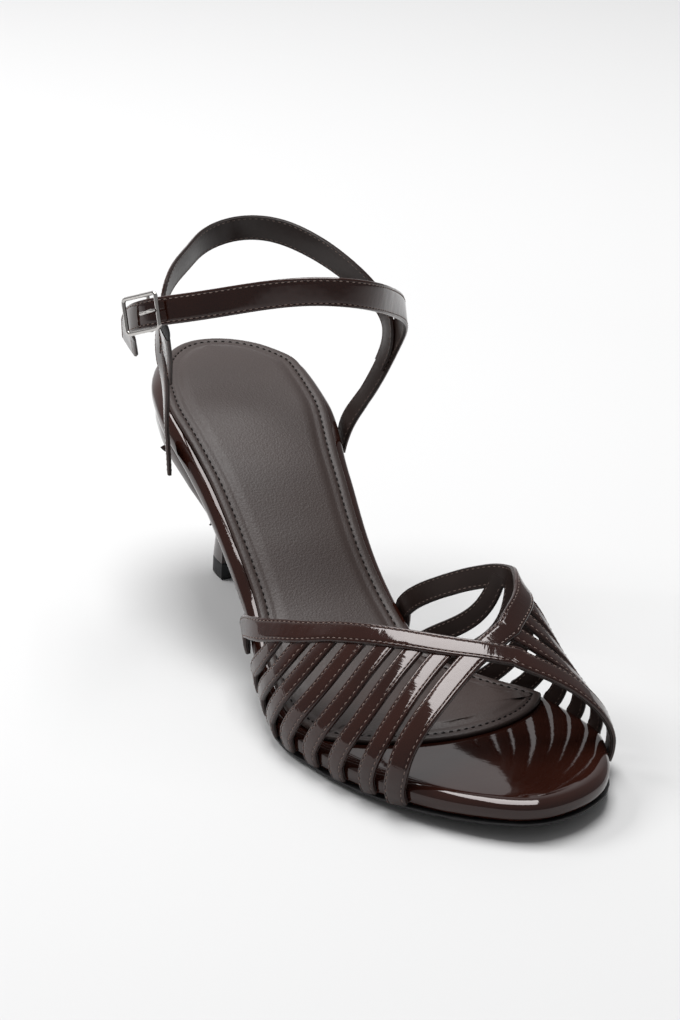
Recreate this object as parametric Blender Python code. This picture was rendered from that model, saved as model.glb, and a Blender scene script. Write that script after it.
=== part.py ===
"""Strappy kitten heel sandal, the right shoe of a pair, in metres.

The origin is on the heel tip's underside, at the floor. The toe points to -Y, the inner (medial)
side is +X and up is +Z. A station is a share of the sole's length from the back of the
heel. Tables hold shares of the named sizes.
"""
import math

import bmesh
import bpy
import numpy as np

MM = 0.001
GAP = 0.3 * MM

# Sole
SOLE_LENGTH = 230.5 * MM
BALL_WIDTH = 78 * MM
TIP_SETBACK = 29.4 * MM
SEAT_LIFT = 62.4 * MM
BOARD_THICKNESS = 7.2 * MM
BOARD_ROUNDING = 3.2 * MM
BOARD_LOWER_EDGE = 0.8 * MM
OUTSOLE_THICKNESS = 2.5 * MM
OUTSOLE_SIDE = 1.2 * MM
OUTSOLE_LIP = 0.6 * MM
OUTSOLE_EDGE = 0.3 * MM
TREAD_INSET = 8.0 * MM
OUTSOLE_SETBACK = 0.004
ARCH_INSET = 3.5 * MM
RAND_HEIGHT = 5.3 * MM
RAND_INSET = 1.2 * MM
RAND_END = 0.33
RAND_END_SHARE = 0.45
RAND_EDGE = 0.9 * MM
RAND_SIDE = (0.12, 0.85)
RAND_FULL_STATION = 0.188
SOCK_INSET = 3.0 * MM
SOCK_THICKNESS = 1.4 * MM
SOCK_EDGE = 0.6 * MM
SOCK_ROUND_START = 0.735
SOCK_END = 0.814
SOCK_OUTER_POWER = 1.3
SOCK_INNER_POWER = 1.45
TUCK_STATIONS = (RAND_END, 0.42, 0.53, 1.0)

# Heel
BREAST_STATION = 0.168
TIP_HEIGHT = 5.5 * MM
TIP_WIDTH = 14.4 * MM
TIP_DEPTH = 12.4 * MM
TIP_EDGE = 0.5 * MM
BREAST_SHARE = 0.42
HEEL_POWER = 3.2
HEEL_INSET = 1.6 * MM
TIP_TOP_SHARE = 0.97

# Vamp
INSTEP_HEIGHT = 60.5 * MM
STRAP_STANDOFF = 1.45 * MM
SIDE_BULGE = 2.7 * MM
RIM_SINK = 2.0 * MM
RIM_RUN = 100 * MM
OUTER_POWER = 2.25
VAMP_LEAN = 0.026
BAND_WIDTH = 7.2 * MM
BAND_THICKNESS = 1.8 * MM
NARROW_WIDTH = 6.0 * MM
NARROW_THICKNESS = 1.5 * MM
STRAP_SWELL = 0.027
FULL_SWELL_TURN = 0.3
SURFACE_STEP = 0.006
OVER_LIFT = 0.8 * MM
UNDER_LIFT = 0.35 * MM

# Ankle
ANKLE_WIDTH = 75 * MM
SLING_HEIGHT = 115 * MM
SLING_WIDTH = 8.6 * MM
STAY_WIDTH = 8.0 * MM
SLING_THICKNESS = 1.6 * MM
JOINED_THICKNESS = 1.44 * MM
JOINED_WIDTH = 6.4 * MM
SLING_LEAN = 0.12
ANKLE_AXIS = -0.155
STAY_STATION = 0.24
STAY_SHARE = 0.5189
FOOT_SHARE = 0.49
FOOT_BLEND = 0.10
LEAN_SHARE = 0.55
LEAN_BLEND = 0.30

# Buckle
BUCKLE_ON_STRAP = 0.785
BUCKLE_LENGTH = 16.0 * MM
BUCKLE_WIRE = 1.7 * MM
BUCKLE_CORNER = 1.2 * MM
BAR_WIRE = 1.45 * MM
BAR_BEND = 0.4 * MM
PRONG_WIRE = 1.3 * MM
PRONG_ROOT = 0.2 * MM
PRONG_FLAT = 2.2 * MM
PRONG_RISE = 0.3 * MM
PRONG_REST = 1.6 * MM
PRONG_OVERHANG = 0.5 * MM
ELASTIC_THICKNESS = 1.2 * MM
ELASTIC_WIDTH = 7.4 * MM
ELASTIC_END = 1.6 * MM
ELASTIC_PULL = 0.4

# station, outer edge, inner edge (shares of the ball width, from the line through the heel tip)
OUTLINE = np.array([
    (0.00, -0.019, -0.019), (0.02, -0.178, 0.162), (0.06, -0.282, 0.271), (0.12, -0.362, 0.338),
    (0.20, -0.400, 0.330), (0.32, -0.390, 0.254), (0.45, -0.404, 0.203), (0.56, -0.480, 0.214),
    (0.66, -0.527, 0.363), (0.74, -0.490, 0.494), (0.83, -0.412, 0.523), (0.91, -0.292, 0.444),
    (0.965, -0.152, 0.332), (0.99, -0.055, 0.212), (1.00, 0.054, 0.054)])

# station, height of the sole's underside over the ball's (share of the seat's lift)
ARCH = np.array([
    (0.0, 1.0), (0.1, 0.956), (0.2, 0.857), (0.3, 0.680), (0.4, 0.440), (0.5, 0.190),
    (0.58, 0.055), (0.65, 0.0), (0.76, 0.0), (0.88, 0.016), (1.0, 0.034)])

# station, share of the stack's thickness, less towards the toe
TOE_STACK = np.array([(0.76, 1.0), (0.88, 0.93), (1.0, 0.82)])

# height share, width and depth of the stem (shares of the tip's), spread towards the seat (0 to 1)
HEEL_SECTIONS = np.array([
    (0.00, 0.97, 0.96, 0.0), (0.10, 0.90, 0.88, 0.0), (0.28, 0.79, 0.71, 0.0), (0.46, 0.73, 0.62, 0.0),
    (0.58, 0.74, 0.65, 0.03), (0.67, 0.78, 0.70, 0.11), (0.75, 0.84, 0.76, 0.25),
    (0.83, 0.90, 0.8, 0.48), (0.90, 0.95, 0.8, 0.74), (0.96, 1.0, 0.8, 0.93), (1.0, 1.0, 0.8, 1.0)])

# station, crown over the rim (share of the instep height), ridge's shift to the inner side (share of
# the ball width), power of the inner side's curve
CROWN = np.array([
    (0.48, 1.0, 0.762, 2.26), (0.58, 0.833, 0.565, 1.95), (0.68, 0.665, 0.369, 1.63),
    (0.78, 0.513, 0.197, 1.56), (0.88, 0.351, 0.040, 1.62)])

# station, turn from the outer rim (0) over the foot to the inner rim (1)
OVER_BAND = np.array([
    (0.488, 0.0), (0.540, 0.055), (0.599, 0.126), (0.659, 0.206), (0.700, 0.258), (0.738, 0.310),
    (0.776, 0.378), (0.806, 0.456), (0.831, 0.541), (0.846, 0.626), (0.857, 0.712), (0.866, 0.800),
    (0.871, 0.900), (0.873, 1.0)])
UNDER_BAND = np.array([
    (0.870, 0.0), (0.872, 0.05), (0.869, 0.138), (0.858, 0.235), (0.842, 0.310), (0.826, 0.360),
    (0.808, 0.409), (0.790, 0.460), (0.771, 0.508), (0.750, 0.552), (0.727, 0.590), (0.702, 0.625),
    (0.677, 0.664), (0.650, 0.709), (0.623, 0.756), (0.598, 0.808), (0.573, 0.860), (0.548, 0.911),
    (0.524, 0.959), (0.503, 1.0)])

# stations of the narrow straps: under their band, and at the rim
OUTER_STRAPS = ((0.775, 0.828), (0.750, 0.778), (0.722, 0.729), (0.693, 0.681), (0.662, 0.633),
                (0.630, 0.588), (0.590, 0.548))
INNER_STRAPS = ((0.775, 0.825), (0.750, 0.780), (0.725, 0.735), (0.700, 0.690), (0.675, 0.645),
                (0.652, 0.600), (0.627, 0.556))

# across (share of the ankle width), along (share of the sole's length), up (share of the sling's height)
BACK_LOOP = np.array([
    (0.342, -0.1120, 0.445), (0.352, -0.1145, 0.500), (0.408, -0.1270, 0.568), (0.447, -0.1410, 0.637),
    (0.475, -0.1556, 0.705), (0.488, -0.1690, 0.765), (0.482, -0.1600, 0.832), (0.453, -0.1290, 0.884),
    (0.404, -0.0960, 0.925), (0.313, -0.0345, 0.976), (0.180, 0.0130, 1.010), (0.040, 0.0420, 1.004),
    (-0.087, 0.0388, 0.986), (-0.220, -0.0013, 0.968), (-0.353, -0.0418, 0.946), (-0.447, -0.0800, 0.900),
    (-0.500, -0.1090, 0.846), (-0.517, -0.1340, 0.776), (-0.497, -0.1306, 0.707), (-0.483, -0.1194, 0.637),
    (-0.466, -0.1090, 0.568), (-0.457, -0.1065, 0.505), (-0.452, -0.1060, 0.440)])
FRONT_STRAP = np.array([
    (0.478, -0.1590, 0.718), (0.489, -0.1730, 0.778), (0.486, -0.1960, 0.838), (0.452, -0.2240, 0.888),
    (0.400, -0.2440, 0.921), (0.335, -0.2700, 0.951), (0.240, -0.3050, 0.991), (0.125, -0.3390, 1.033),
    (0.010, -0.3530, 1.061), (-0.115, -0.3380, 1.068), (-0.287, -0.3010, 1.050), (-0.420, -0.2740, 1.028),
    (-0.553, -0.2430, 1.003), (-0.668, -0.2030, 0.974), (-0.690, -0.1720, 0.945), (-0.660, -0.1300, 0.900),
    (-0.615, -0.0960, 0.845), (-0.577, -0.0700, 0.790)])
OUTER_ARM = np.array([
    (-0.503, -0.1330, 0.730), (-0.519, -0.1480, 0.800), (-0.548, -0.1690, 0.860), (-0.577, -0.1860, 0.905)])

LEATHER = (0.030, 0.0105, 0.0075, 1)
NAPPA = (0.095, 0.075, 0.068, 1)
BLACK = (0.012, 0.012, 0.013, 1)
METAL = (0.45, 0.44, 0.43, 1)
PATENT_GLOSS = 0.12
COVER_GLOSS = 0.22


def hermite(at, keys, values, slopes):
    """Cubic pieces through (keys, values) with the given slopes."""
    i = np.clip(np.searchsorted(keys, at, side="right") - 1, 0, len(keys) - 2)
    h = keys[i + 1] - keys[i]
    t = (at - keys[i]) / h
    if values.ndim > 1:
        t = t[:, None]
        h = h[:, None]
    return ((1 + 2 * t) * (1 - t) ** 2 * values[i] + t * (1 - t) ** 2 * h * slopes[i]
            + t * t * (3 - 2 * t) * values[i + 1] + t * t * (t - 1) * h * slopes[i + 1])


def eased(at, keys, values):
    """Cubic through the table's points without overshoot; flat past the ends."""
    keys = np.asarray(keys, float)
    values = np.asarray(values, float)
    secants = np.diff(values) / np.diff(keys)
    same = secants[:-1] * secants[1:] > 0
    product = np.where(same, secants[:-1] * secants[1:], 0.0)
    total = np.where(same, secants[:-1] + secants[1:], 1.0)
    slopes = np.concatenate([secants[:1], 2 * product / total, secants[-1:]])
    return hermite(np.clip(at, keys[0], keys[-1]), keys, values, slopes)


def flowing(points, count=400):
    """A smooth curve through points, by the distance between them."""
    keys = lengths_along(points)
    return hermite(np.linspace(0, keys[-1], count), keys, points, np.gradient(points, keys, axis=0))


def bow(station):
    """The station as an angle share, in which round ends are straight."""
    return np.arccos(1 - 2 * np.clip(station, 0, 1)) / math.pi


def station_of(y):
    return (TIP_SETBACK - y) / SOLE_LENGTH


def y_of(station):
    return TIP_SETBACK - np.asarray(station, float) * SOLE_LENGTH


def outer_x(station):
    return eased(bow(station), bow(OUTLINE[:, 0]), OUTLINE[:, 1]) * BALL_WIDTH


def inner_x(station):
    return eased(bow(station), bow(OUTLINE[:, 0]), OUTLINE[:, 2]) * BALL_WIDTH


def board_top(station):
    """Height of the board's top over the floor."""
    stack = BOARD_THICKNESS + GAP + OUTSOLE_THICKNESS
    return eased(station, ARCH[:, 0], ARCH[:, 1]) * SEAT_LIFT + stack


def toe_share(station):
    """Share of its full drop that anything below the board's top keeps, less towards the toe."""
    return eased(station, TOE_STACK[:, 0], TOE_STACK[:, 1])


def finish_mesh(name, verts, faces, colour, roughness, metallic=0.0):
    """A mesh object with its doubles merged, faces outward and its own material."""
    mesh = bpy.data.meshes.new(name)
    mesh.from_pydata(verts, [], faces)
    bm = bmesh.new()
    bm.from_mesh(mesh)
    bmesh.ops.remove_doubles(bm, verts=bm.verts, dist=0.001 * MM)
    bmesh.ops.dissolve_degenerate(bm, edges=bm.edges, dist=0.001 * MM)
    bmesh.ops.triangulate(bm, faces=bm.faces)
    bmesh.ops.recalc_face_normals(bm, faces=bm.faces)
    bm.to_mesh(mesh)
    bm.free()
    obj = bpy.data.objects.new(name, mesh)
    material = bpy.data.materials.new(name)
    material.use_nodes = True
    shader = material.node_tree.nodes["Principled BSDF"]
    shader.inputs["Base Color"].default_value = colour
    shader.inputs["Roughness"].default_value = roughness
    shader.inputs["Metallic"].default_value = metallic
    mesh.materials.append(material)
    mesh.shade_smooth()
    mesh.set_sharp_from_angle(angle=math.radians(35))
    return obj


def skin(name, rings, colour, roughness, metallic=0.0):
    """Closed loft through rings of equal count; each end is capped by strips between its two sides."""
    rings = np.asarray(rings, float)
    count, around = rings.shape[:2]
    verts = rings.reshape(-1, 3).tolist()
    faces = []
    for k in range(count - 1):
        for i in range(around):
            j = (i + 1) % around
            faces.append((k * around + i, k * around + j, (k + 1) * around + j, (k + 1) * around + i))
    for base in (0, (count - 1) * around):
        for i in range(around // 2 - 1):
            faces.append((base + i, base + i + 1, base + around - 2 - i, base + around - 1 - i))
    return finish_mesh(name, verts, faces, colour, roughness, metallic)


def inset_loop(loop, inset):
    """A flat loop moved inwards by inset along its normals (the loop runs outer side first).

    Points that coincide, as at the toe and the back of the heel, share one normal.
    """
    apart = np.linalg.norm(loop - np.roll(loop, 1, axis=0), axis=1) > 0.001 * MM
    ring = loop[apart]
    tangent = np.roll(ring, -1, axis=0) - np.roll(ring, 1, axis=0)
    normal = np.stack([-tangent[:, 1], tangent[:, 0]], axis=1)
    normal = normal / np.linalg.norm(tangent, axis=1, keepdims=True)
    return loop + normal[np.cumsum(apart) - 1] * inset


def edge_loop(stations, outer, inner):
    """Outer edge from back to front, then the inner edge back again."""
    y = y_of(stations)
    left = np.stack([outer, y], axis=1)
    right = np.stack([inner, y], axis=1)
    return np.vstack([left, right[::-1]])


def slab(name, loop, steps, colour, roughness):
    """A sheet that follows the sole's top: steps are (inset, drop) pairs down its side."""
    rings = []
    for inset, drop in steps:
        flat = inset_loop(loop, inset)
        station = station_of(flat[:, 1])
        height = board_top(station) - drop * toe_share(station)
        rings.append(np.column_stack([flat, height]))
    return skin(name, rings, colour, roughness)


def arc_stations(start, end, count):
    """Stations packed towards round ends, straight at a cut end."""
    turn = np.linspace(bow(start), bow(end), count)
    return (1 - np.cos(turn * math.pi)) / 2


def rounded_side(radius, thickness, lower, steps=4):
    """Side profile: a quarter round at the top edge, a small one below."""
    profile = []
    for angle in np.linspace(0, math.pi / 2, steps + 1):
        profile.append((radius * (1 - math.sin(angle)), radius * (1 - math.cos(angle))))
    profile.append((0.0, thickness - lower))
    profile.append((lower, thickness))
    return profile


def make_board():
    """The covered platform under the foot, from heel to toe."""
    stations = arc_stations(0, 1, 46)
    loop = edge_loop(stations, outer_x(stations), inner_x(stations))
    steps = rounded_side(BOARD_ROUNDING, BOARD_THICKNESS, BOARD_LOWER_EDGE)
    return slab("insole_board", loop, steps, LEATHER, PATENT_GLOSS)


def make_outsole():
    """The sheet under the board, its underside crowned down to the tread and tucked in at the arch."""
    stations = arc_stations(RAND_END + OUTSOLE_SETBACK, 1, 40)
    tuck = eased(stations, TUCK_STATIONS, (1.0, 1.0, 0.0, 0.0))
    reach = OUTSOLE_LIP * (1 - tuck) - ARCH_INSET * tuck
    loop = edge_loop(stations, outer_x(stations), inner_x(stations))
    moved = inset_loop(loop, -np.concatenate([reach, reach[::-1]])[:, None])
    moved[0, 1] = loop[0, 1]
    moved[-1, 1] = loop[-1, 1]
    top = BOARD_THICKNESS + GAP
    base = top + OUTSOLE_THICKNESS
    steps = [(OUTSOLE_EDGE, top), (0, top + OUTSOLE_EDGE), (0, top + OUTSOLE_SIDE), (TREAD_INSET, base)]
    return slab("outsole", moved, steps, BLACK, 0.55)


def make_rand():
    """The covered band under the seat, thinner towards the arch."""
    stations = arc_stations(0, RAND_END, 30)
    loop = edge_loop(stations, outer_x(stations), inner_x(stations))
    start = BOARD_THICKNESS + GAP
    rings = []
    for inset, share in ((RAND_EDGE, 0.0), (0.0, RAND_SIDE[0]), (0.0, RAND_SIDE[1]), (RAND_EDGE, 1.0)):
        flat = inset_loop(loop, RAND_INSET + inset)
        station = station_of(flat[:, 1])
        height = eased(station, (0.0, RAND_FULL_STATION, RAND_END), (1.0, 1.0, RAND_END_SHARE)) * RAND_HEIGHT
        rings.append(np.column_stack([flat, board_top(station) - start - height * share]))
    return skin("seat_rand", rings, LEATHER, COVER_GLOSS)


def make_sock():
    """The lining on top of the board, with a rounded front end."""
    stations = arc_stations(0, 1, 46) * SOCK_END
    share = np.clip((stations - SOCK_ROUND_START) / (SOCK_END - SOCK_ROUND_START), 0, 1)
    middle = (outer_x(stations) + inner_x(stations)) / 2
    half = (inner_x(stations) - outer_x(stations)) / 2
    outer = middle - half * np.sqrt(1 - share ** SOCK_OUTER_POWER)
    inner = middle + half * np.sqrt(1 - share ** SOCK_INNER_POWER)
    loop = inset_loop(edge_loop(stations, outer, inner), SOCK_INSET)
    steps = [(SOCK_EDGE, -SOCK_THICKNESS - GAP), (0, SOCK_EDGE - SOCK_THICKNESS - GAP), (0, -GAP)]
    return slab("sock_lining", loop, steps, NAPPA, 0.6)


def heel_ring(up, width, depth, spread, inset):
    """One section: a flat breast with a round back, spread towards the seat's own outline."""
    back = arc_stations(0, BREAST_STATION, 13)
    loop = edge_loop(back[::-1], outer_x(back[::-1]), inner_x(back[::-1]))
    seat = inset_loop(loop, -inset)
    seat[0, 1] = loop[0, 1]
    seat[-1, 1] = loop[-1, 1]
    angle = np.linspace(0, math.pi, len(seat))
    power = 2 / HEEL_POWER
    across = -np.sign(np.cos(angle)) * np.abs(np.cos(angle)) ** power * TIP_WIDTH / 2 * width
    along = (np.abs(np.sin(angle)) ** power - BREAST_SHARE) * TIP_DEPTH * depth
    stem = np.stack([across, along], axis=1)
    flat = stem * (1 - spread) + seat * spread
    under = board_top(station_of(flat[:, 1])) - BOARD_THICKNESS - RAND_HEIGHT - 2 * GAP
    foot = TIP_HEIGHT + GAP
    return np.column_stack([flat, foot + up * (under - foot)])


def make_heel():
    """The covered heel: a cup under the seat, a slim waist and a flared foot."""
    ups = np.concatenate([np.linspace(0, 0.5, 5), np.linspace(0.56, 1, 12)])
    columns = [eased(ups, HEEL_SECTIONS[:, 0], HEEL_SECTIONS[:, c]) for c in (1, 2, 3)]
    rings = [heel_ring(u, w, d, s, RAND_INSET + HEEL_INSET) for u, w, d, s in zip(ups, *columns)]
    return skin("heel", rings, LEATHER, COVER_GLOSS)


def make_heel_tip():
    """The top piece under the heel, flat on the floor."""
    rings = []
    for height, grow in ((0.0, 1 - TIP_EDGE / TIP_DEPTH), (TIP_EDGE, 1.0), (TIP_HEIGHT, TIP_TOP_SHARE)):
        ring = heel_ring(0.0, grow, grow, 0.0, 0.0)
        ring[:, 2] = height
        rings.append(ring)
    return skin("heel_tip", rings, BLACK, 0.5)


def vamp_surface(path):
    """Points of the surface that the straps lie on, for rows of station and turn.

    Across the foot it is a superellipse from rim to rim, leaning to the inner side. Under a turn
    of 0 and over 1 it drops straight down the rim, RIM_RUN for a whole turn.
    """
    station = path[:, 0]
    turn = np.clip(path[:, 1], 0, 1)
    angle = math.pi * turn
    cosine = np.cos(angle)
    sine = np.abs(np.sin(angle))
    crown, ridge, inner_power = [eased(station, CROWN[:, 0], CROWN[:, c]) for c in (1, 2, 3)]
    power = 2 / np.where(cosine > 0, OUTER_POWER, inner_power)
    outer = outer_x(station)
    inner = inner_x(station)
    half = (inner - outer) / 2 + STRAP_STANDOFF + SIDE_BULGE * sine
    x = (outer + inner) / 2 - half * np.sign(cosine) * np.abs(cosine) ** power
    x = x + ridge * BALL_WIDTH * sine ** 2
    rise = crown * INSTEP_HEIGHT * sine ** power
    below = np.maximum(-path[:, 1], 0) + np.maximum(path[:, 1] - 1, 0)
    z = board_top(station) + rise - (RIM_SINK + below * RIM_RUN) * toe_share(station)
    return np.stack([x, y_of(station) - VAMP_LEAN * rise, z], axis=1)


def lengths_along(points):
    """Distance along a polyline at each of its points."""
    return np.concatenate([[0], np.cumsum(np.linalg.norm(np.diff(points, axis=0), axis=1))])


def along(points, count):
    """The same polyline, resampled at even lengths."""
    lengths = lengths_along(points)
    even = np.linspace(0, lengths[-1], count)
    return np.stack([np.interp(even, lengths, points[:, c]) for c in range(points.shape[1])], axis=1)


def unit(vectors):
    return vectors / np.maximum(np.linalg.norm(vectors, axis=1, keepdims=True), 1e-12)


def ribbon_rings(middle, normal, width, thickness, lift=0.0):
    """Four-cornered sections of a flat strap along its middle line."""
    tangent = unit(np.gradient(middle, axis=0))
    side = unit(np.cross(normal, tangent))
    face = unit(np.cross(tangent, side))
    half = np.broadcast_to(np.asarray(width, float), (len(middle),))[:, None] / 2
    up = face * (lift + thickness / 2)
    down = face * (lift - thickness / 2)
    corners = [middle - side * half + down, middle - side * half + up, middle + side * half + up,
               middle + side * half + down]
    return np.stack(corners, axis=1)


def down_the_rim(route, ends=(True, True)):
    """The route with its ends run down to the board's underside."""
    drop = np.linspace(0, (BOARD_THICKNESS - RIM_SINK) / RIM_RUN, 12)[1:]
    first = np.column_stack([np.full(len(drop), route[0, 0]), -drop])[::-1]
    side = 1 if route[-1, 1] > 0.5 else -1
    last = np.column_stack([np.full(len(drop), route[-1, 0]), route[-1, 1] + side * drop])
    rows = [first] if ends[0] else []
    rows.append(route)
    if ends[1]:
        rows.append(last)
    return np.vstack(rows)


def follow_rim(rings, middle_y, share):
    """Shear the sections so that their ends run along the sloping rim; share is 0 to 1 a section."""
    slope = board_top(station_of(rings[:, :, 1])) - board_top(station_of(middle_y))[:, None]
    rings[:, :, 2] += slope * np.asarray(share)[:, None]
    return rings


def vamp_strap(route, width, thickness, lift, segments):
    """A strap on the vamp surface; route is rows of station and turn."""
    scaled = route * (SOLE_LENGTH, RIM_RUN)
    points = vamp_surface(route)
    lengths = lengths_along(points)
    even = np.linspace(0, lengths[-1], segments + 1)
    at = np.stack([np.interp(even, lengths, scaled[:, c]) for c in (0, 1)], axis=1) / (SOLE_LENGTH, RIM_RUN)
    step = SURFACE_STEP
    ahead = vamp_surface(at + (step, 0)) - vamp_surface(at - (step, 0))
    over = vamp_surface(at + (0, step)) - vamp_surface(at - (0, step))
    normal = unit(np.cross(over, ahead))
    normal = normal * np.sign((normal * (vamp_surface(at) - vamp_core(at))).sum(axis=1, keepdims=True))
    middle = vamp_surface(at)
    below = np.maximum(-at[:, 1], 0) + np.maximum(at[:, 1] - 1, 0)
    share = below * RIM_RUN / (BOARD_THICKNESS - RIM_SINK)
    return follow_rim(ribbon_rings(middle, normal, width, thickness, lift), middle[:, 1], share)


def vamp_core(at):
    """A line inside the vamp, which its normals point away from."""
    station = at[:, 0]
    middle = (outer_x(station) + inner_x(station)) / 2
    return np.stack([middle, y_of(station), np.minimum(board_top(station), vamp_surface(at)[:, 2])], axis=1)


def narrow_route(band, top_station, foot_station, side):
    """From under its band, swelling forward, down to the rim on its side (0 outer, 1 inner)."""
    route = flowing(band)
    order = np.argsort(route[:, 0])
    top_turn = np.interp(top_station, route[order, 0], route[order, 1])
    v = np.linspace(0, 1, 60)
    swell = STRAP_SWELL * min(1, abs(top_turn - side) / FULL_SWELL_TURN)
    station = top_station + (foot_station - top_station) * v + swell * np.sin(math.pi * v)
    turn = top_turn + (side - top_turn) * v
    return down_the_rim(np.stack([station, turn], axis=1), (False, True))


def joined(first, others, model, cutters):
    """A union of closed pieces by Boolean modifiers; the others become hidden cutters."""
    for other in others:
        cutters.objects.link(other)
        other.hide_render = True
        other.display_type = "WIRE"
        union = first.modifiers.new(other.name, "BOOLEAN")
        union.operation = "UNION"
        union.solver = "EXACT"
        union.object = other
    model.objects.link(first)


def merge_meshes(name, pieces):
    """Separate closed straps as one mesh."""
    bm = bmesh.new()
    for piece in pieces:
        bm.from_mesh(piece.data)
        bpy.data.objects.remove(piece)
    mesh = bpy.data.meshes.new(name)
    bm.to_mesh(mesh)
    bm.free()
    return bpy.data.objects.new(name, mesh)


def make_vamp(model, cutters):
    """Two crossing bands and the narrow straps between them and the rim, as one solid.

    Neighbours touch at their band, so they are joined in two turns.
    """
    bands = []
    for name, table, lift, segments in (("vamp", OVER_BAND, OVER_LIFT, 54),
                                        ("under_band", UNDER_BAND, UNDER_LIFT, 60)):
        rings = vamp_strap(down_the_rim(flowing(table)), BAND_WIDTH, BAND_THICKNESS, lift, segments)
        bands.append(skin(name, rings, LEATHER, PATENT_GLOSS))
    over, under = bands
    groups = []
    for name, band, rows, side in (("outer_odd_straps", OVER_BAND, OUTER_STRAPS[::2], 0),
                                   ("outer_even_straps", OVER_BAND, OUTER_STRAPS[1::2], 0),
                                   ("inner_odd_straps", UNDER_BAND, INNER_STRAPS[::2], 1),
                                   ("inner_even_straps", UNDER_BAND, INNER_STRAPS[1::2], 1)):
        straps = []
        for top, foot in rows:
            rings = vamp_strap(narrow_route(band, top, foot, side), NARROW_WIDTH, NARROW_THICKNESS, 0.0, 16)
            straps.append(skin(name, rings, LEATHER, PATENT_GLOSS))
        groups.append(merge_meshes(name, straps))
    joined(over, [under] + groups, model, cutters)


def sling_datum():
    """Height from which the sling's shares count, so that the stays' feet stay at the board's side."""
    return board_top(STAY_STATION) - STAY_SHARE * SLING_HEIGHT


def sling_share(height):
    return (height - sling_datum()) / SLING_HEIGHT


def ankle_points(table):
    return table * (ANKLE_WIDTH, SOLE_LENGTH, SLING_HEIGHT) + (0, 0, sling_datum())


def ankle_facing(middle):
    """Outward: square to the rim at the stays' feet, away from the ankle's axis and leaning up above."""
    side = np.sign(middle[:, 0])
    station = station_of(middle[:, 1])
    step = SURFACE_STEP
    spread = np.where(side > 0, inner_x(station + step) - inner_x(station - step),
                      outer_x(station + step) - outer_x(station - step))
    rim = np.column_stack([side, side * spread / (2 * step * SOLE_LENGTH), np.zeros(len(middle))])
    away = middle - (0, ANKLE_AXIS * SOLE_LENGTH, 0)
    away[:, 2] = 0
    away = unit(away)
    away[:, 2] = SLING_LEAN
    rise = np.clip((sling_share(middle[:, 2]) - LEAN_SHARE) / LEAN_BLEND, 0, 1)[:, None]
    return unit(unit(rim) * (1 - rise) + unit(away) * rise)


def ankle_ribbon(name, table, widths, thickness, segments):
    """A strap round the ankle; widths are (share of its length, width) rows."""
    middle = along(flowing(ankle_points(table)), segments + 1)
    share = np.linspace(0, 1, segments + 1)
    width = eased(share, [w[0] for w in widths], [w[1] for w in widths])
    foot = 1 - np.clip((sling_share(middle[:, 2]) - FOOT_SHARE) / FOOT_BLEND, 0, 1)
    rings = follow_rim(ribbon_rings(middle, ankle_facing(middle), width, thickness), middle[:, 1], foot)
    return skin(name, rings, LEATHER, PATENT_GLOSS)


def make_sling(model, cutters):
    """Stays and back strap in one run, with the front strap and the buckle's arm joined to it."""
    loop_widths = ((0, STAY_WIDTH), (0.16, STAY_WIDTH), (0.28, SLING_WIDTH), (0.75, SLING_WIDTH),
                   (0.86, STAY_WIDTH), (1, STAY_WIDTH))
    loop = ankle_ribbon("ankle_sling", BACK_LOOP, loop_widths, SLING_THICKNESS, 84)
    front_widths = ((0, JOINED_WIDTH), (0.1, SLING_WIDTH), (1, SLING_WIDTH))
    front = ankle_ribbon("front_strap", FRONT_STRAP, front_widths, JOINED_THICKNESS, 64)
    arm_widths = ((0, JOINED_WIDTH), (0.6, STAY_WIDTH), (1, ELASTIC_WIDTH))
    arm = ankle_ribbon("outer_arm", OUTER_ARM, arm_widths, JOINED_THICKNESS, 10)
    joined(loop, [front, arm], model, cutters)


def buckle_frame_axes():
    """Where the buckle sits on the front strap: its middle, and its along, up and outward directions."""
    middle = along(flowing(ankle_points(FRONT_STRAP)), 401)
    facing = ankle_facing(middle)
    i = int(BUCKLE_ON_STRAP * 400)
    tangent = unit(np.gradient(middle, axis=0))[i]
    side = np.cross(facing[i], tangent)
    side /= np.linalg.norm(side)
    face = np.cross(tangent, side)
    if side[2] < 0:
        side = -side
    return middle[i], tangent, side, face


def wire(name, points, radius, cyclic, model):
    """A round wire through its points, as a closed mesh."""
    curve = bpy.data.curves.new(name, "CURVE")
    curve.dimensions = "3D"
    curve.bevel_depth = radius
    curve.bevel_resolution = 2
    curve.use_fill_caps = True
    spline = curve.splines.new("POLY")
    spline.points.add(len(points) - 1)
    for point, place in zip(spline.points, points):
        point.co = (*place, 1)
    spline.use_cyclic_u = cyclic
    source = bpy.data.objects.new(name + "_wire", curve)
    model.objects.link(source)
    depsgraph = bpy.context.evaluated_depsgraph_get()
    mesh = bpy.data.meshes.new_from_object(source.evaluated_get(depsgraph))
    bpy.data.objects.remove(source)
    verts = [v.co[:] for v in mesh.vertices]
    faces = [p.vertices[:] for p in mesh.polygons]
    return finish_mesh(name, verts, faces, METAL, 0.25, 1.0)


def rounded_rectangle(length, height, radius, steps=4):
    """Flat points round a rectangle with round corners."""
    corners = ((1, 1, 0), (-1, 1, 1), (-1, -1, 2), (1, -1, 3))
    points = []
    for sx, sy, quarter in corners:
        for k in range(steps + 1):
            angle = (quarter + k / steps) * math.pi / 2
            points.append((sx * (length / 2 - radius) + radius * math.cos(angle),
                           sy * (height / 2 - radius) + radius * math.sin(angle)))
    return points


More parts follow.
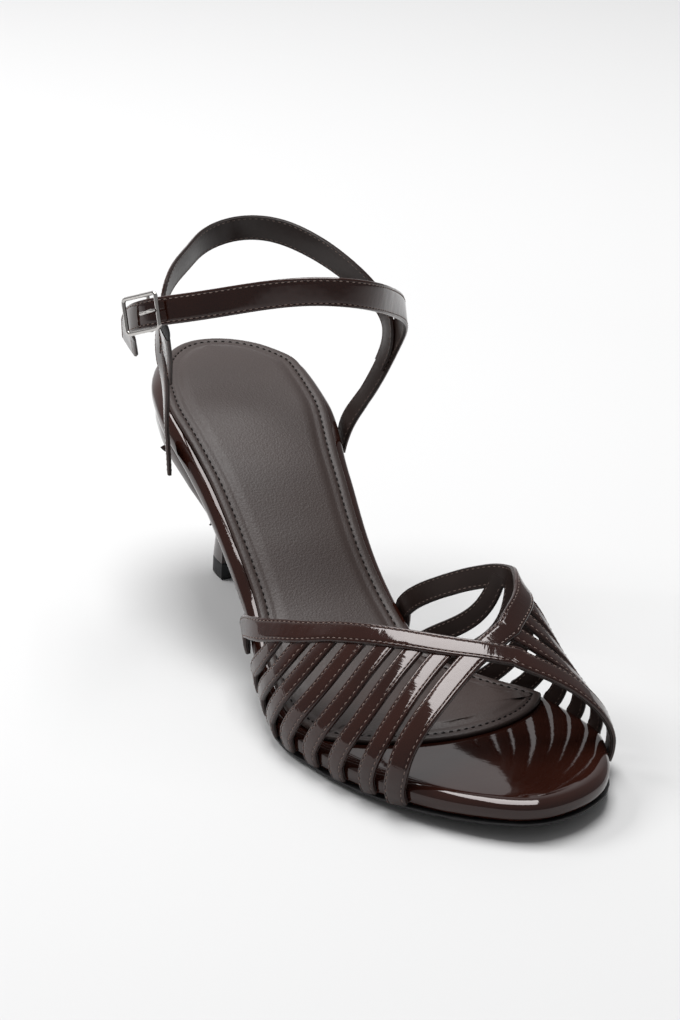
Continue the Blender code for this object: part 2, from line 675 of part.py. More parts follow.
def make_buckle(model, cutters):
    """Frame round the front strap with the bar behind it, and the prong over the strap."""
    middle, tangent, side, face = buckle_frame_axes()
    radius = BUCKLE_WIRE / 2
    lift = SLING_THICKNESS / 2 + GAP + radius
    half = SLING_WIDTH / 2 + GAP + radius

    def place(u, v, w):
        return middle + tangent * u + side * v + face * w

    outline = rounded_rectangle(BUCKLE_LENGTH - BUCKLE_WIRE, 2 * half, BUCKLE_CORNER)
    frame = wire("buckle_frame", [place(u, v, lift) for u, v in outline], radius, True, model)
    down = BAR_BEND - lift
    inside = half - BAR_BEND
    route = ((half, lift), (half, down), (inside, -lift), (-inside, -lift), (-half, down), (-half, lift))
    centre_bar = wire("centre_bar", [place(0, v, w) for v, w in route], BAR_WIRE / 2, False, model)
    joined(frame, [centre_bar], model, cutters)
    thin = PRONG_WIRE / 2
    low = SLING_THICKNESS / 2 + GAP + thin
    rest = lift + radius + GAP + thin
    reach = BUCKLE_LENGTH / 2 - radius
    route = ((PRONG_ROOT, low), (-PRONG_FLAT, low + PRONG_RISE), (PRONG_REST - reach, rest),
             (-reach - PRONG_OVERHANG, rest))
    model.objects.link(wire("buckle_prong", [place(u, 0, w) for u, w in route], thin, False, model))


def make_elastic():
    """The elastic from the outer arm's end to the buckle's centre bar, inside the strap."""
    middle, tangent, side, face = buckle_frame_axes()
    before, arm_end = ankle_points(OUTER_ARM)[-2:]
    direction = (arm_end - before) / np.linalg.norm(arm_end - before)
    start = arm_end + direction * GAP
    under = SLING_THICKNESS / 2 + GAP + BUCKLE_WIRE + GAP + ELASTIC_THICKNESS / 2
    end = middle - face * under - tangent * ELASTIC_END
    t = np.linspace(0, 1, 14)[:, None]
    pull = np.linalg.norm(end - start) * ELASTIC_PULL
    first = start + direction * pull
    last = end + tangent * pull
    points = start * (1 - t) ** 3 + 3 * first * t * (1 - t) ** 2 + 3 * last * t ** 2 * (1 - t) + end * t ** 3
    rings = ribbon_rings(points, ankle_facing(points), ELASTIC_WIDTH, ELASTIC_THICKNESS)
    return skin("elastic_tab", rings, BLACK, 0.8)


def main():
    for obj in list(bpy.data.objects):
        bpy.data.objects.remove(obj)
    model = bpy.data.collections.new("strappy_sandal")
    cutters = bpy.data.collections.new("cutters")
    bpy.context.scene.collection.children.link(model)
    bpy.context.scene.collection.children.link(cutters)
    for make in (make_outsole, make_board, make_rand, make_sock, make_heel, make_heel_tip):
        model.objects.link(make())
    make_vamp(model, cutters)
    make_sling(model, cutters)
    make_buckle(model, cutters)
    model.objects.link(make_elastic())


main()
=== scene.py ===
"""Finish of a strappy heeled sandal: patent straps, lining, stitches, buckle and a pale studio.

Lengths are in metres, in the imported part's frame: the toe points to -Y, the inner side is +X and the
floor is at z = 0. A station is a share of the sole's length from the back of the heel.
"""

import math

import bmesh
import bpy
import numpy as np
from bpy.props import FloatProperty, FloatVectorProperty, IntProperty, PointerProperty
from mathutils import Matrix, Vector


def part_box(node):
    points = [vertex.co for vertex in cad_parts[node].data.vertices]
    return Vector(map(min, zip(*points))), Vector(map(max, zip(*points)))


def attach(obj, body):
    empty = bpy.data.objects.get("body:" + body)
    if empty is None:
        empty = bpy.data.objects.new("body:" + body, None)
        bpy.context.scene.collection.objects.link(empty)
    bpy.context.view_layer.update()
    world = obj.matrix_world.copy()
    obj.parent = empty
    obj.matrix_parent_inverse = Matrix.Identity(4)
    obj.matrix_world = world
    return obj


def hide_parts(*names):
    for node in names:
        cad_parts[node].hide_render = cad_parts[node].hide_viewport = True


bl_info = {
    "name": "Strappy Sandal Finish",
    "version": (1, 0, 0),
    "blender": (4, 5, 0),
    "location": "View3D > Sidebar > Sandal",
    "description": "Leather, lining, stitches, buckle and studio for a strappy heeled sandal",
    "category": "Add Mesh",
}

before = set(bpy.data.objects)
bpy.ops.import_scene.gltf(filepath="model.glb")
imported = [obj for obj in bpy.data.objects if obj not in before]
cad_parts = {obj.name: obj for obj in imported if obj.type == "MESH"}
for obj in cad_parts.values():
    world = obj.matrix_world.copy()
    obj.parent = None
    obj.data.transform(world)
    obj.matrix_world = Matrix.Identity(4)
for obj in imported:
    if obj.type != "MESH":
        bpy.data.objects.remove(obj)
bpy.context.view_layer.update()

MM = 0.001
GAP = 0.3 * MM
BODY = "root"

# Sole, from the frame's own boxes
BOARD_LOW, BOARD_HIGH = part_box("insole_board")
SOLE_LENGTH = BOARD_HIGH.y - BOARD_LOW.y
TIP_SETBACK = BOARD_HIGH.y
OUTSOLE_THICKNESS = BOARD_LOW.z - GAP
BOARD_THICKNESS = 7.2 * MM
UNDER_BOARD = BOARD_THICKNESS + GAP
BALL_TOP = BOARD_LOW.z + BOARD_THICKNESS
SEAT_LIFT = BOARD_HIGH.z - BALL_TOP
BREAST_STATION = 0.168
SEAT_BAND_END = 0.33
SEAT_BAND_HEIGHT = 5.3 * MM

# Lining under the foot
SOCK_ROUND_START = 0.735
SOCK_END = 0.814
SOCK_OUTER_POWER = 1.3
SOCK_INNER_POWER = 1.45
SOCK_SEAM_INSET = 2.9 * MM
SOCK_SEAM_HEIGHT = 1.4 * MM
SOCK_STITCH_PITCH = 2.4 * MM
SOCK_STITCH_LENGTH = 1.3 * MM
SOCK_THREAD_WIDTH = 0.5 * MM

# Heel: its cup reaches past the sole's outline; the stem's sections are rounded by a power
TIP_LOW, TIP_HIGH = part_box("heel_tip")
TIP_WIDTH = TIP_HIGH.x - TIP_LOW.x
TIP_DEPTH = TIP_HIGH.y - TIP_LOW.y
TIP_HEIGHT = TIP_HIGH.z
CUP_REACH = 2.8 * MM
STEM_POWER = 3.2
STEM_SETBACK = 0.42
HEEL_SECTION_COUNT = 64
HEEL_ARC_COUNT = 40

# Straps: over the foot, down the board's rim and round the ankle
SLING_HEIGHT = 115 * MM
ANKLE_WIDTH = 75 * MM
INSTEP_HEIGHT = 60.5 * MM
RIM_RUN = 100 * MM
RIM_SINK = 2.0 * MM
RIM_DROP = BOARD_THICKNESS - RIM_SINK
RIM_TUCK = 1.3 * MM
STRAP_STANDOFF = 1.0 * MM
SIDE_BULGE = 2.7 * MM
OUTER_POWER = 2.25
VAMP_LEAN = 0.026
STRAP_SWELL = 0.027
FULL_SWELL_TURN = 0.3
SURFACE_STEP = 0.006
ANKLE_SMOOTHING = 5 * MM
STITCH_MARGIN = 1.2 * MM
STITCH_COLUMNS = 6

# station, outer edge, inner edge (shares of the ball width)
OUTLINE = np.array([
    (0.00, -0.019, -0.019), (0.02, -0.178, 0.162), (0.06, -0.282, 0.271), (0.12, -0.362, 0.338),
    (0.20, -0.400, 0.330), (0.32, -0.390, 0.254), (0.45, -0.404, 0.203), (0.56, -0.480, 0.214),
    (0.66, -0.527, 0.363), (0.74, -0.490, 0.494), (0.83, -0.412, 0.523), (0.91, -0.292, 0.444),
    (0.965, -0.152, 0.332), (0.99, -0.055, 0.212), (1.00, 0.054, 0.054)])
BALL_WIDTH = (BOARD_HIGH.x - BOARD_LOW.x) / (OUTLINE[:, 2].max() - OUTLINE[:, 1].min())

# station, height of the sole's underside over the ball's (share of the seat's lift)
ARCH = np.array([
    (0.0, 1.0), (0.1, 0.956), (0.2, 0.857), (0.3, 0.680), (0.4, 0.440), (0.5, 0.190),
    (0.58, 0.055), (0.65, 0.0), (0.76, 0.0), (0.88, 0.016), (1.0, 0.034)])

# station, share of the stack's thickness, less towards the toe
TOE_STACK = np.array([(0.76, 1.0), (0.88, 0.93), (1.0, 0.82)])

# height share, width and depth of the stem (shares of the tip's), spread towards the seat (0 to 1)
HEEL_SECTIONS = np.array([
    (0.00, 0.97, 0.96, 0.0), (0.10, 0.90, 0.88, 0.0), (0.28, 0.79, 0.71, 0.0), (0.46, 0.73, 0.62, 0.0),
    (0.58, 0.74, 0.65, 0.03), (0.67, 0.78, 0.70, 0.11), (0.75, 0.84, 0.76, 0.25),
    (0.83, 0.90, 0.8, 0.48), (0.90, 0.95, 0.8, 0.74), (0.96, 1.0, 0.8, 0.93), (1.0, 1.0, 0.8, 1.0)])

# station, crown over the rim (share of the instep height), ridge's shift to the inner side (share of
# the ball width), power of the inner side's curve
CROWN = np.array([
    (0.48, 1.0, 0.762, 2.26), (0.58, 0.833, 0.565, 1.95), (0.68, 0.665, 0.369, 1.63),
    (0.78, 0.513, 0.197, 1.56), (0.88, 0.351, 0.040, 1.62)])

# station, turn from the outer rim (0) over the foot to the inner rim (1)
OVER_BAND = np.array([
    (0.488, 0.0), (0.540, 0.055), (0.599, 0.126), (0.659, 0.206), (0.700, 0.258), (0.738, 0.310),
    (0.776, 0.378), (0.806, 0.456), (0.831, 0.541), (0.846, 0.626), (0.857, 0.712), (0.866, 0.800),
    (0.871, 0.900), (0.873, 1.0)])
UNDER_BAND = np.array([
    (0.870, 0.0), (0.872, 0.05), (0.869, 0.138), (0.858, 0.235), (0.842, 0.310), (0.826, 0.360),
    (0.808, 0.409), (0.790, 0.460), (0.771, 0.508), (0.750, 0.552), (0.727, 0.590), (0.702, 0.625),
    (0.677, 0.664), (0.650, 0.709), (0.623, 0.756), (0.598, 0.808), (0.573, 0.860), (0.548, 0.911),
    (0.524, 0.959), (0.503, 1.0)])

# stations of the narrow straps: under their band, and at the rim
OUTER_STRAPS = ((0.775, 0.828), (0.750, 0.778), (0.722, 0.729), (0.693, 0.681), (0.662, 0.633),
                (0.630, 0.588), (0.590, 0.548))
INNER_STRAPS = ((0.775, 0.825), (0.750, 0.780), (0.725, 0.735), (0.700, 0.690), (0.675, 0.645),
                (0.652, 0.600), (0.627, 0.556))

# across (share of the ankle width), along (share of the sole's length), up (share of the sling's height)
INNER_STAY = np.array([
    (0.342, -0.1120, 0.445), (0.352, -0.1145, 0.500), (0.408, -0.1270, 0.568), (0.447, -0.1410, 0.637),
    (0.473, -0.1550, 0.703)])
BACK_LOOP = np.array([
    (0.467, -0.1520, 0.690), (0.486, -0.1670, 0.765), (0.482, -0.1600, 0.832), (0.453, -0.1290, 0.884),
    (0.404, -0.0960, 0.925), (0.313, -0.0345, 0.976), (0.180, 0.0130, 1.010), (0.040, 0.0420, 1.004),
    (-0.087, 0.0388, 0.986), (-0.220, -0.0013, 0.968), (-0.353, -0.0418, 0.946), (-0.447, -0.0800, 0.900),
    (-0.500, -0.1090, 0.846), (-0.517, -0.1340, 0.776), (-0.497, -0.1306, 0.707), (-0.483, -0.1194, 0.637),
    (-0.466, -0.1090, 0.568), (-0.457, -0.1065, 0.505), (-0.452, -0.1060, 0.455)])
FRONT_STRAP = np.array([
    (0.489, -0.1730, 0.778), (0.486, -0.1960, 0.838), (0.452, -0.2240, 0.888), (0.400, -0.2440, 0.921),
    (0.335, -0.2700, 0.951), (0.240, -0.3050, 0.991), (0.125, -0.3390, 1.033), (0.010, -0.3530, 1.061),
    (-0.115, -0.3380, 1.068), (-0.287, -0.3010, 1.050), (-0.420, -0.2740, 1.028), (-0.553, -0.2430, 1.003),
    (-0.668, -0.2030, 0.974), (-0.690, -0.1720, 0.945), (-0.660, -0.1300, 0.900), (-0.615, -0.0960, 0.845),
    (-0.577, -0.0700, 0.790)])
OUTER_ARM = np.array([
    (-0.503, -0.1330, 0.730), (-0.519, -0.1480, 0.800), (-0.548, -0.1690, 0.860), (-0.577, -0.1860, 0.905)])
ANKLE_AXIS = -0.155
SLING_LEAN = 0.12
FOOT_SHARE = 0.49
FOOT_BLEND = 0.10

# Buckle and elastic
BUCKLE_LENGTH = 16.0 * MM
WIRE_RADIUS = 0.65 * MM
PRONG_RADIUS = 0.6 * MM
BUCKLE_CORNER = 1.3 * MM
ELASTIC_HALF_WIDTH = 3.7 * MM
ELASTIC_DEPTH = 1.7 * MM

# Camera, in metres and degrees
CAMERA_PLACE = (-0.36478, -0.79522, 0.39053)
CAMERA_AZIMUTH = -26.91
CAMERA_ELEVATION = 22.82
CAMERA_ROLL = 1.12
CAMERA_LENS = 101.66
CAMERA_SENSOR = 36.0

# Colour of the patent leather's mirror images
GLOSS_TINT = (1.0, 0.94, 0.93, 1)


class SandalSizes(bpy.types.PropertyGroup):
    """Sizes of the straps, stitches and lining."""

    band_width: FloatProperty(name="Band Width", description="Width of the two crossing bands",
                              default=7.2 * MM, unit="LENGTH")
    band_thickness: FloatProperty(name="Band Thickness", description="Leather and lining of a band",
                                  default=1.8 * MM, unit="LENGTH")
    narrow_width: FloatProperty(name="Narrow Strap Width", description="Width of a strap beside the bands",
                                default=6.0 * MM, unit="LENGTH")
    narrow_thickness: FloatProperty(name="Narrow Strap Thickness", description="Leather and lining there",
                                    default=1.5 * MM, unit="LENGTH")
    sling_width: FloatProperty(name="Ankle Strap Width", description="Width of the straps round the ankle",
                               default=8.6 * MM, unit="LENGTH")
    stay_width: FloatProperty(name="Stay Width", description="Width of the stays beside the heel",
                              default=8.0 * MM, unit="LENGTH")
    sling_thickness: FloatProperty(name="Ankle Strap Thickness", description="Leather and lining there",
                                   default=1.6 * MM, unit="LENGTH")
    stitch_pitch: FloatProperty(name="Stitch Pitch", description="From one stitch to the next",
                                default=1.8 * MM, unit="LENGTH")
    stitch_length: FloatProperty(name="Stitch Length", description="Thread seen between two holes",
                                 default=1.05 * MM, unit="LENGTH")
    thread_width: FloatProperty(name="Thread Width", description="Thickness of the thread",
                                default=0.30 * MM, unit="LENGTH")
    seam_inset: FloatProperty(name="Seam Inset", description="From a strap's edge to its stitches",
                              default=0.95 * MM, unit="LENGTH")
    step: FloatProperty(name="Strap Step", description="Length of one mesh step along a strap",
                        default=0.45 * MM, unit="LENGTH")
    sock_inset: FloatProperty(name="Lining Inset", description="From the rim to the lining's edge",
                              default=3.0 * MM, unit="LENGTH")
    outline_steps: IntProperty(name="Outline Steps", description="Stations along the sole", default=170)


class SandalColours(bpy.types.PropertyGroup):
    """Colours of the leathers, thread and metal."""

    patent: FloatVectorProperty(name="Patent", description="Patent leather", subtype="COLOR", size=3,
                                default=(0.0190, 0.0052, 0.0032), min=0, max=1)
    lining: FloatVectorProperty(name="Strap Lining", description="Inside of straps", subtype="COLOR", size=3,
                                default=(0.022, 0.014, 0.012), min=0, max=1)
    sock: FloatVectorProperty(name="Sock", description="Lining under the foot", subtype="COLOR", size=3,
                              default=(0.033, 0.0205, 0.0175), min=0, max=1)
    thread: FloatVectorProperty(name="Thread", description="Stitches on the straps", subtype="COLOR", size=3,
                                default=(0.20, 0.145, 0.125), min=0, max=1)
    metal: FloatVectorProperty(name="Buckle", description="Buckle metal", subtype="COLOR", size=3,
                               default=(0.55, 0.53, 0.51), min=0, max=1)
    rubber: FloatVectorProperty(name="Rubber", description="Outsole and heel tip", subtype="COLOR", size=3,
                                default=(0.010, 0.010, 0.011), min=0, max=1)


def sizes():
    """The sizes that the user set."""
    return bpy.context.scene.sandal_sizes


def colours():
    """The colours that the user set."""
    return bpy.context.scene.sandal_colours


def hermite(at, keys, values, slopes):
    """Cubic pieces through (keys, values) with the given slopes."""
    i = np.clip(np.searchsorted(keys, at, side="right") - 1, 0, len(keys) - 2)
    h = keys[i + 1] - keys[i]
    t = (at - keys[i]) / h
    if values.ndim > 1:
        t = t[:, None]
        h = h[:, None]
    return ((1 + 2 * t) * (1 - t) ** 2 * values[i] + t * (1 - t) ** 2 * h * slopes[i]
            + t * t * (3 - 2 * t) * values[i + 1] + t * t * (t - 1) * h * slopes[i + 1])


def eased(at, keys, values):
    """Cubic through the table's points without overshoot; flat past the ends."""
    keys = np.asarray(keys, float)
    values = np.asarray(values, float)
    secants = np.diff(values) / np.diff(keys)
    same = secants[:-1] * secants[1:] > 0
    product = np.where(same, secants[:-1] * secants[1:], 0.0)
    total = np.where(same, secants[:-1] + secants[1:], 1.0)
    slopes = np.concatenate([secants[:1], 2 * product / total, secants[-1:]])
    return hermite(np.clip(at, keys[0], keys[-1]), keys, values, slopes)


def lengths_along(points):
    """Distance along a polyline at each of its points."""
    return np.concatenate([[0], np.cumsum(np.linalg.norm(np.diff(points, axis=0), axis=1))])


def flowing(points, count=400):
    """A smooth curve through points, by the distance between them."""
    keys = lengths_along(points)
    return hermite(np.linspace(0, keys[-1], count), keys, points, np.gradient(points, keys, axis=0))


def rows_at(at, keys, rows):
    """Each column of rows, read between its keys."""
    return np.stack([np.interp(at, keys, column) for column in rows.T], axis=1)


def spaced(length, step):
    """Even lengths of about step from 0 to length."""
    return np.linspace(0, length, int(round(length / step)) + 1)


def even(points, step):
    """The same polyline at even lengths of about step."""
    keys = lengths_along(points)
    return rows_at(spaced(keys[-1], step), keys, points)


def smoothed(points, step, reach):
    """Rows about step apart, averaged over reach with a bell curve; the two ends stay."""
    half = int(round(2 * reach / step))
    bell = np.exp(-0.5 * (np.arange(-half, half + 1) * step / reach) ** 2)
    before = 2 * points[0] - points[half:0:-1]
    after = 2 * points[-1] - points[-2:-half - 2:-1]
    padded = np.vstack([before, points, after])
    return np.stack([np.convolve(padded[:, c], bell / bell.sum(), "valid") for c in range(3)], axis=1)


def unit(vectors):
    """Vectors at length 1."""
    return vectors / np.maximum(np.linalg.norm(vectors, axis=-1, keepdims=True), 1e-12)


def axes_along(path, facing):
    """A path's tangents, with sideways and outward directions square to them."""
    tangent = unit(np.gradient(path, axis=0))
    side = unit(np.cross(facing, tangent))
    return tangent, side, unit(np.cross(tangent, side))


def bow(station):
    """The station as an angle share, in which round ends are straight."""
    return np.arccos(1 - 2 * np.clip(station, 0, 1)) / math.pi


def arc_stations(start, end, count):
    """Stations packed towards round ends."""
    return (1 - np.cos(np.linspace(bow(start), bow(end), count) * math.pi)) / 2


def station_of(y):
    """The station at a y."""
    return (TIP_SETBACK - y) / SOLE_LENGTH


def y_of(station):
    """The y of a station."""
    return TIP_SETBACK - station * SOLE_LENGTH


def outer_x(station):
    """The sole's outer edge."""
    return eased(bow(station), bow(OUTLINE[:, 0]), OUTLINE[:, 1]) * BALL_WIDTH


def inner_x(station):
    """The sole's inner edge."""
    return eased(bow(station), bow(OUTLINE[:, 0]), OUTLINE[:, 2]) * BALL_WIDTH


def board_top(station):
    """Height of the board's top along the arch."""
    return eased(station, ARCH[:, 0], ARCH[:, 1]) * SEAT_LIFT + BALL_TOP


def toe_share(station):
    """Share of its full drop that anything below the board's top keeps, less towards the toe."""
    return eased(station, TOE_STACK[:, 0], TOE_STACK[:, 1])


def under_top(flat, drop):
    """Flat points placed at a drop under the board's top."""
    station = station_of(flat[:, 1])
    return np.column_stack([flat, board_top(station) - drop * toe_share(station)])


def edge_loop(stations, outer, inner):
    """Outer edge from back to front, then the inner edge back again."""
    left = np.stack([outer, y_of(stations)], axis=1)
    right = np.stack([inner, y_of(stations)], axis=1)
    return np.vstack([left, right[::-1]])


def sole_loop(stations):
    """The sole's own outline between two stations."""
    return edge_loop(stations, outer_x(stations), inner_x(stations))


def drawn_in(loop, share):
    """A loop drawn in to its middle line by a share."""
    return loop + (loop[::-1] - loop) / 2 * share


def inset_loop(loop, inset):
    """A flat loop moved inwards along its normals; points that coincide share one normal."""
    apart = np.linalg.norm(loop - np.roll(loop, 1, axis=0), axis=1) > 0.001 * MM
    ring = loop[apart]
    tangent = np.roll(ring, -1, axis=0) - np.roll(ring, 1, axis=0)
    normal = unit(np.stack([-tangent[:, 1], tangent[:, 0]], axis=1))
    return loop + normal[np.cumsum(apart) - 1] * inset


def widened(loop, reach):
    """A loop moved out by reach, with its ends kept on their own line across the sole."""
    moved = inset_loop(loop, -reach)
    moved[[0, -1], 1] = loop[[0, -1], 1]
    return moved


def capped(rings):
    """Rings with their two ends drawn in to their middle lines."""
    return np.concatenate([(rings[:1] + rings[:1, ::-1]) / 2, rings, (rings[-1:] + rings[-1:, ::-1]) / 2])


def pointed(rings):
    """A tube of rings with each end drawn to one point."""
    ends = [rings[k:k + 1 or None].mean(axis=1, keepdims=True).repeat(rings.shape[1], 1) for k in (0, -1)]
    return np.concatenate([ends[0], rings, ends[1]])


def grid_quads(ids, closed=True):
    """Faces between the neighbours in a grid of vertex numbers, its columns closed into rings."""
    if closed:
        ids = np.column_stack([ids, ids[:, 0]])
    return np.stack([ids[:-1, :-1], ids[:-1, 1:], ids[1:, 1:], ids[1:, :-1]], axis=-1).reshape(-1, 4)


def turn_out(mesh, merge):
    """Turns a mesh's faces outwards, and merges its doubled points first if asked."""
    bm = bmesh.new()
    bm.from_mesh(mesh)
    if merge:
        bmesh.ops.remove_doubles(bm, verts=bm.verts, dist=0.002 * MM)
        bmesh.ops.dissolve_degenerate(bm, edges=bm.edges, dist=0.001 * MM)
    bmesh.ops.recalc_face_normals(bm, faces=bm.faces)
    bm.to_mesh(mesh)
    bm.free()


def surface(name, grid, finishes, slots=None, uv=None, closed=True, sharp=40):
    """A mesh over a grid of points P(row, column), its columns closed into rings.

    slots gives a finish for each strip of columns; uv is a grid with one column more than P.
    """
    rows, columns = grid.shape[:2]
    quads = grid_quads(np.arange(rows * columns).reshape(rows, columns), closed)
    mesh = bpy.data.meshes.new(name)
    mesh.from_pydata(grid.reshape(-1, 3), [], quads.tolist())
    if slots is not None:
        mesh.polygons.foreach_set("material_index", np.tile(slots, rows - 1))
    if uv is not None:
        corners = np.stack([uv[:-1, :-1], uv[:-1, 1:], uv[1:, 1:], uv[1:, :-1]], axis=2)
        mesh.uv_layers.new(name="UVMap").data.foreach_set("uv", corners.reshape(-1))
    turn_out(mesh, True)
    return add_piece(name, mesh, finishes, sharp)


def add_piece(name, mesh, finishes, sharp=40):
    """An object at the origin for a finished mesh."""
    for finish in finishes:
        mesh.materials.append(finish)
    mesh.shade_smooth()
    mesh.set_sharp_from_angle(angle=math.radians(sharp))
    piece = bpy.data.objects.new(name, mesh)
    bpy.context.scene.collection.objects.link(piece)
    return piece


def keep(piece, slot, *nodes):
    """Lets a piece ride on the shoe in place of its CAD nodes, which it hides; slot is not used."""
    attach(piece, BODY)
    if nodes:
        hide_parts(*nodes)
    return piece


class Value:
    """A socket of a node tree, with arithmetic that adds Math nodes."""

    def __init__(self, nodes, socket):
        self.nodes = nodes
        self.socket = socket

    def maths(self, operation, first, second):
        return self.nodes.node("ShaderNodeMath", {"operation": operation}, {0: first, 1: second})

    def __add__(self, other):
        return self.maths("ADD", self, other)

    def __mul__(self, other):
        return self.maths("MULTIPLY", self, other)

    __radd__ = __add__
    __rmul__ = __mul__


class Nodes:
    """A node tree under construction."""

    def __init__(self, tree):
        self.tree = tree

    def node(self, kind, settings=None, sockets=None, output=0):
        """Adds a node: its settings first, then the values or links of its sockets."""
        node = self.tree.nodes.new(kind)
        for key, value in (settings or {}).items():
            if key == "stops":
                self.set_stops(node.color_ramp, value)
            else:
                setattr(node, key, value)
        for key, value in (sockets or {}).items():
            self.feed(node.inputs[key], value)
        return Value(self, node.outputs[output])

    def set_stops(self, ramp, stops):
        """Stops are rows of position with a tone or a colour."""
        while len(ramp.elements) < len(stops):
            ramp.elements.new(1.0)
        for element, (position, tone) in zip(ramp.elements, stops):
            element.position = position
            element.color = (*tone, 1) if isinstance(tone, tuple) else (tone, tone, tone, 1)

    def feed(self, socket, value):
        if isinstance(value, Value):
            self.tree.links.new(value.socket, socket)
        else:
            socket.default_value = value

    def place(self, source=3, stretch=(1, 1, 1)):
        """Object coordinates (3) or the UV map (2), stretched."""
        spot = self.node("ShaderNodeTexCoord", output=source)
        return self.node("ShaderNodeMapping", {}, {"Vector": spot, "Scale": stretch})

    def noise(self, place, scale, detail=2.0, roughness=0.5):
        return self.node("ShaderNodeTexNoise", {},
                         {"Vector": place, "Scale": scale, "Detail": detail, "Roughness": roughness})

    def ramp(self, value, *stops):
        return self.node("ShaderNodeValToRGB", {"stops": stops}, {0: value})

    def mix(self, share, first, second):
        return self.node("ShaderNodeMix", {"data_type": "RGBA"}, {0: share, 6: first, 7: second}, 2)

    def tones(self, share, base, low, high):
        """A colour between two shades of base."""
        return self.mix(share, shade(base, low), shade(base, high))


class Paint(Nodes):
    """A material under construction on its Principled shader."""

    def __init__(self, name, constants):
        self.material = bpy.data.materials.new(name)
        self.material.use_nodes = True
        super().__init__(self.material.node_tree)
        self.shader = self.tree.nodes["Principled BSDF"]
        for key, value in constants.items():
            self.shader.inputs[key].default_value = value

    def finish(self, colour, roughness=None, relief=None, depth=0.1 * MM):
        """Links what varies; relief is a height from 0 to 1, depth deep."""
        self.feed(self.shader.inputs["Base Color"], colour)
        if roughness is not None:
            self.feed(self.shader.inputs["Roughness"], roughness)
        if relief is not None:
            bump = self.node("ShaderNodeBump", {}, {"Strength": 1.0, "Distance": depth, "Height": relief})
            self.feed(self.shader.inputs["Normal"], bump)
        return self.material


def shade(colour, factor):
    """A colour with alpha, lighter or darker by a factor."""
    return tuple(c * factor for c in colour) + (1,)


def once(build):
    """Keeps each material: the builder runs only the first time it is asked for."""
    name = build.__name__

    def get():
        found = bpy.data.materials.get(name)
        return found if found else build(name)
    return get


@once
def platform_patent(name):
    """Glossy lacquered leather: slow undulation and a fine orange peel."""
    paint = Paint(name, {"Specular IOR Level": 0.5, "Specular Tint": GLOSS_TINT})
    place = paint.place()
    slow = paint.noise(place, 55.0, 1.5)
    fine = paint.noise(place, 420.0, 3.0, 0.6)
    tone = paint.noise(place, 30.0, 2.0)
    base = colours().patent
    colour = paint.tones(paint.ramp(tone, (0.35, 0.0), (0.7, 1.0)), base, 0.85, 1.3)
    return paint.finish(colour, fine * 0.04 + 0.03, slow * 0.85 + fine * 0.15, 0.12 * MM)


@once
def strap_patent(name):
    """Patent leather of a strap: creases across it, read from its own UV map in metres."""
    paint = Paint(name, {"Specular IOR Level": 0.5, "Specular Tint": GLOSS_TINT})
    along = paint.place(2, (1.0, 0.25, 1.0))
    place = paint.place()
    creases = paint.noise(along, 330.0, 3.0, 0.55)
    slow = paint.noise(place, 130.0, 2.0)
    tone = paint.noise(place, 45.0, 2.0)
    base = colours().patent
    colour = paint.tones(paint.ramp(tone, (0.35, 0.0), (0.7, 1.0)), base, 0.85, 1.35)
    return paint.finish(colour, creases * 0.08 + 0.04, creases * 0.4 + slow * 0.6, 0.24 * MM)


@once
def strap_lining(name):
    """Smooth dull leather inside the straps."""
    paint = Paint(name, {"Specular IOR Level": 0.35})
    place = paint.place()
    grain = paint.noise(place, 900.0, 3.0, 0.6)
    tone = paint.noise(place, 90.0, 2.0)
    base = colours().lining
    colour = paint.tones(tone, base, 0.75, 1.3)
    return paint.finish(colour, grain * 0.2 + 0.26, grain, 0.05 * MM)


@once
def sock_leather(name):
    """Fine nappa: pebbled grain, a soft sheen and slow shade."""
    paint = Paint(name, {"Specular IOR Level": 0.36, "Sheen Weight": 0.04, "Sheen Roughness": 0.4})
    place = paint.place()
    pebbles = paint.node("ShaderNodeTexVoronoi", {"feature": "F1"}, {"Vector": place, "Scale": 1500.0})
    grain = paint.noise(place, 1300.0, 3.0, 0.65)
    slow = paint.noise(place, 40.0, 2.0)
    base = colours().sock
    tone = paint.ramp(slow * 0.6 + grain * 0.4, (0.3, 0.0), (0.75, 1.0))
    colour = paint.tones(tone, base, 0.86, 1.12)
    return paint.finish(colour, grain * 0.22 + 0.36, pebbles * 0.5 + grain * 0.5, 0.07 * MM)


@once
def heel_leather(name):
    """Covered heel: the same patent, stretched smooth and a little duller."""
    paint = Paint(name, {"Coat Weight": 0.8, "Coat Roughness": 0.10, "Specular IOR Level": 0.2})
    place = paint.place()
    slow = paint.noise(place, 70.0, 2.0)
    fine = paint.noise(place, 700.0, 3.0, 0.6)
    base = colours().patent
    colour = paint.tones(slow, base, 0.8, 1.2)
    return paint.finish(colour, fine * 0.2 + 0.26, slow * 0.7 + fine * 0.3, 0.10 * MM)


@once
def rubber(name):
    """Matt black rubber with fine scuffs."""
    paint = Paint(name, {"Specular IOR Level": 0.4})
    place = paint.place()
    grain = paint.noise(place, 800.0, 4.0, 0.65)
    scuffs = paint.noise(place, 120.0, 3.0)
    base = colours().rubber
    colour = paint.tones(paint.ramp(scuffs, (0.45, 0.0), (0.8, 1.0)), base, 0.8, 2.2)
    return paint.finish(colour, grain * 0.2 + 0.45, grain, 0.08 * MM)


@once
def thread(name):
    """Twisted thread, lighter than the leather."""
    paint = Paint(name, {"Specular IOR Level": 0.4})
    place = paint.place()
    fibres = paint.noise(place, 2500.0, 2.0)
    base = colours().thread
    colour = paint.tones(fibres, base, 0.6, 1.3)
    return paint.finish(colour, fibres * 0.2 + 0.5, fibres, 0.03 * MM)


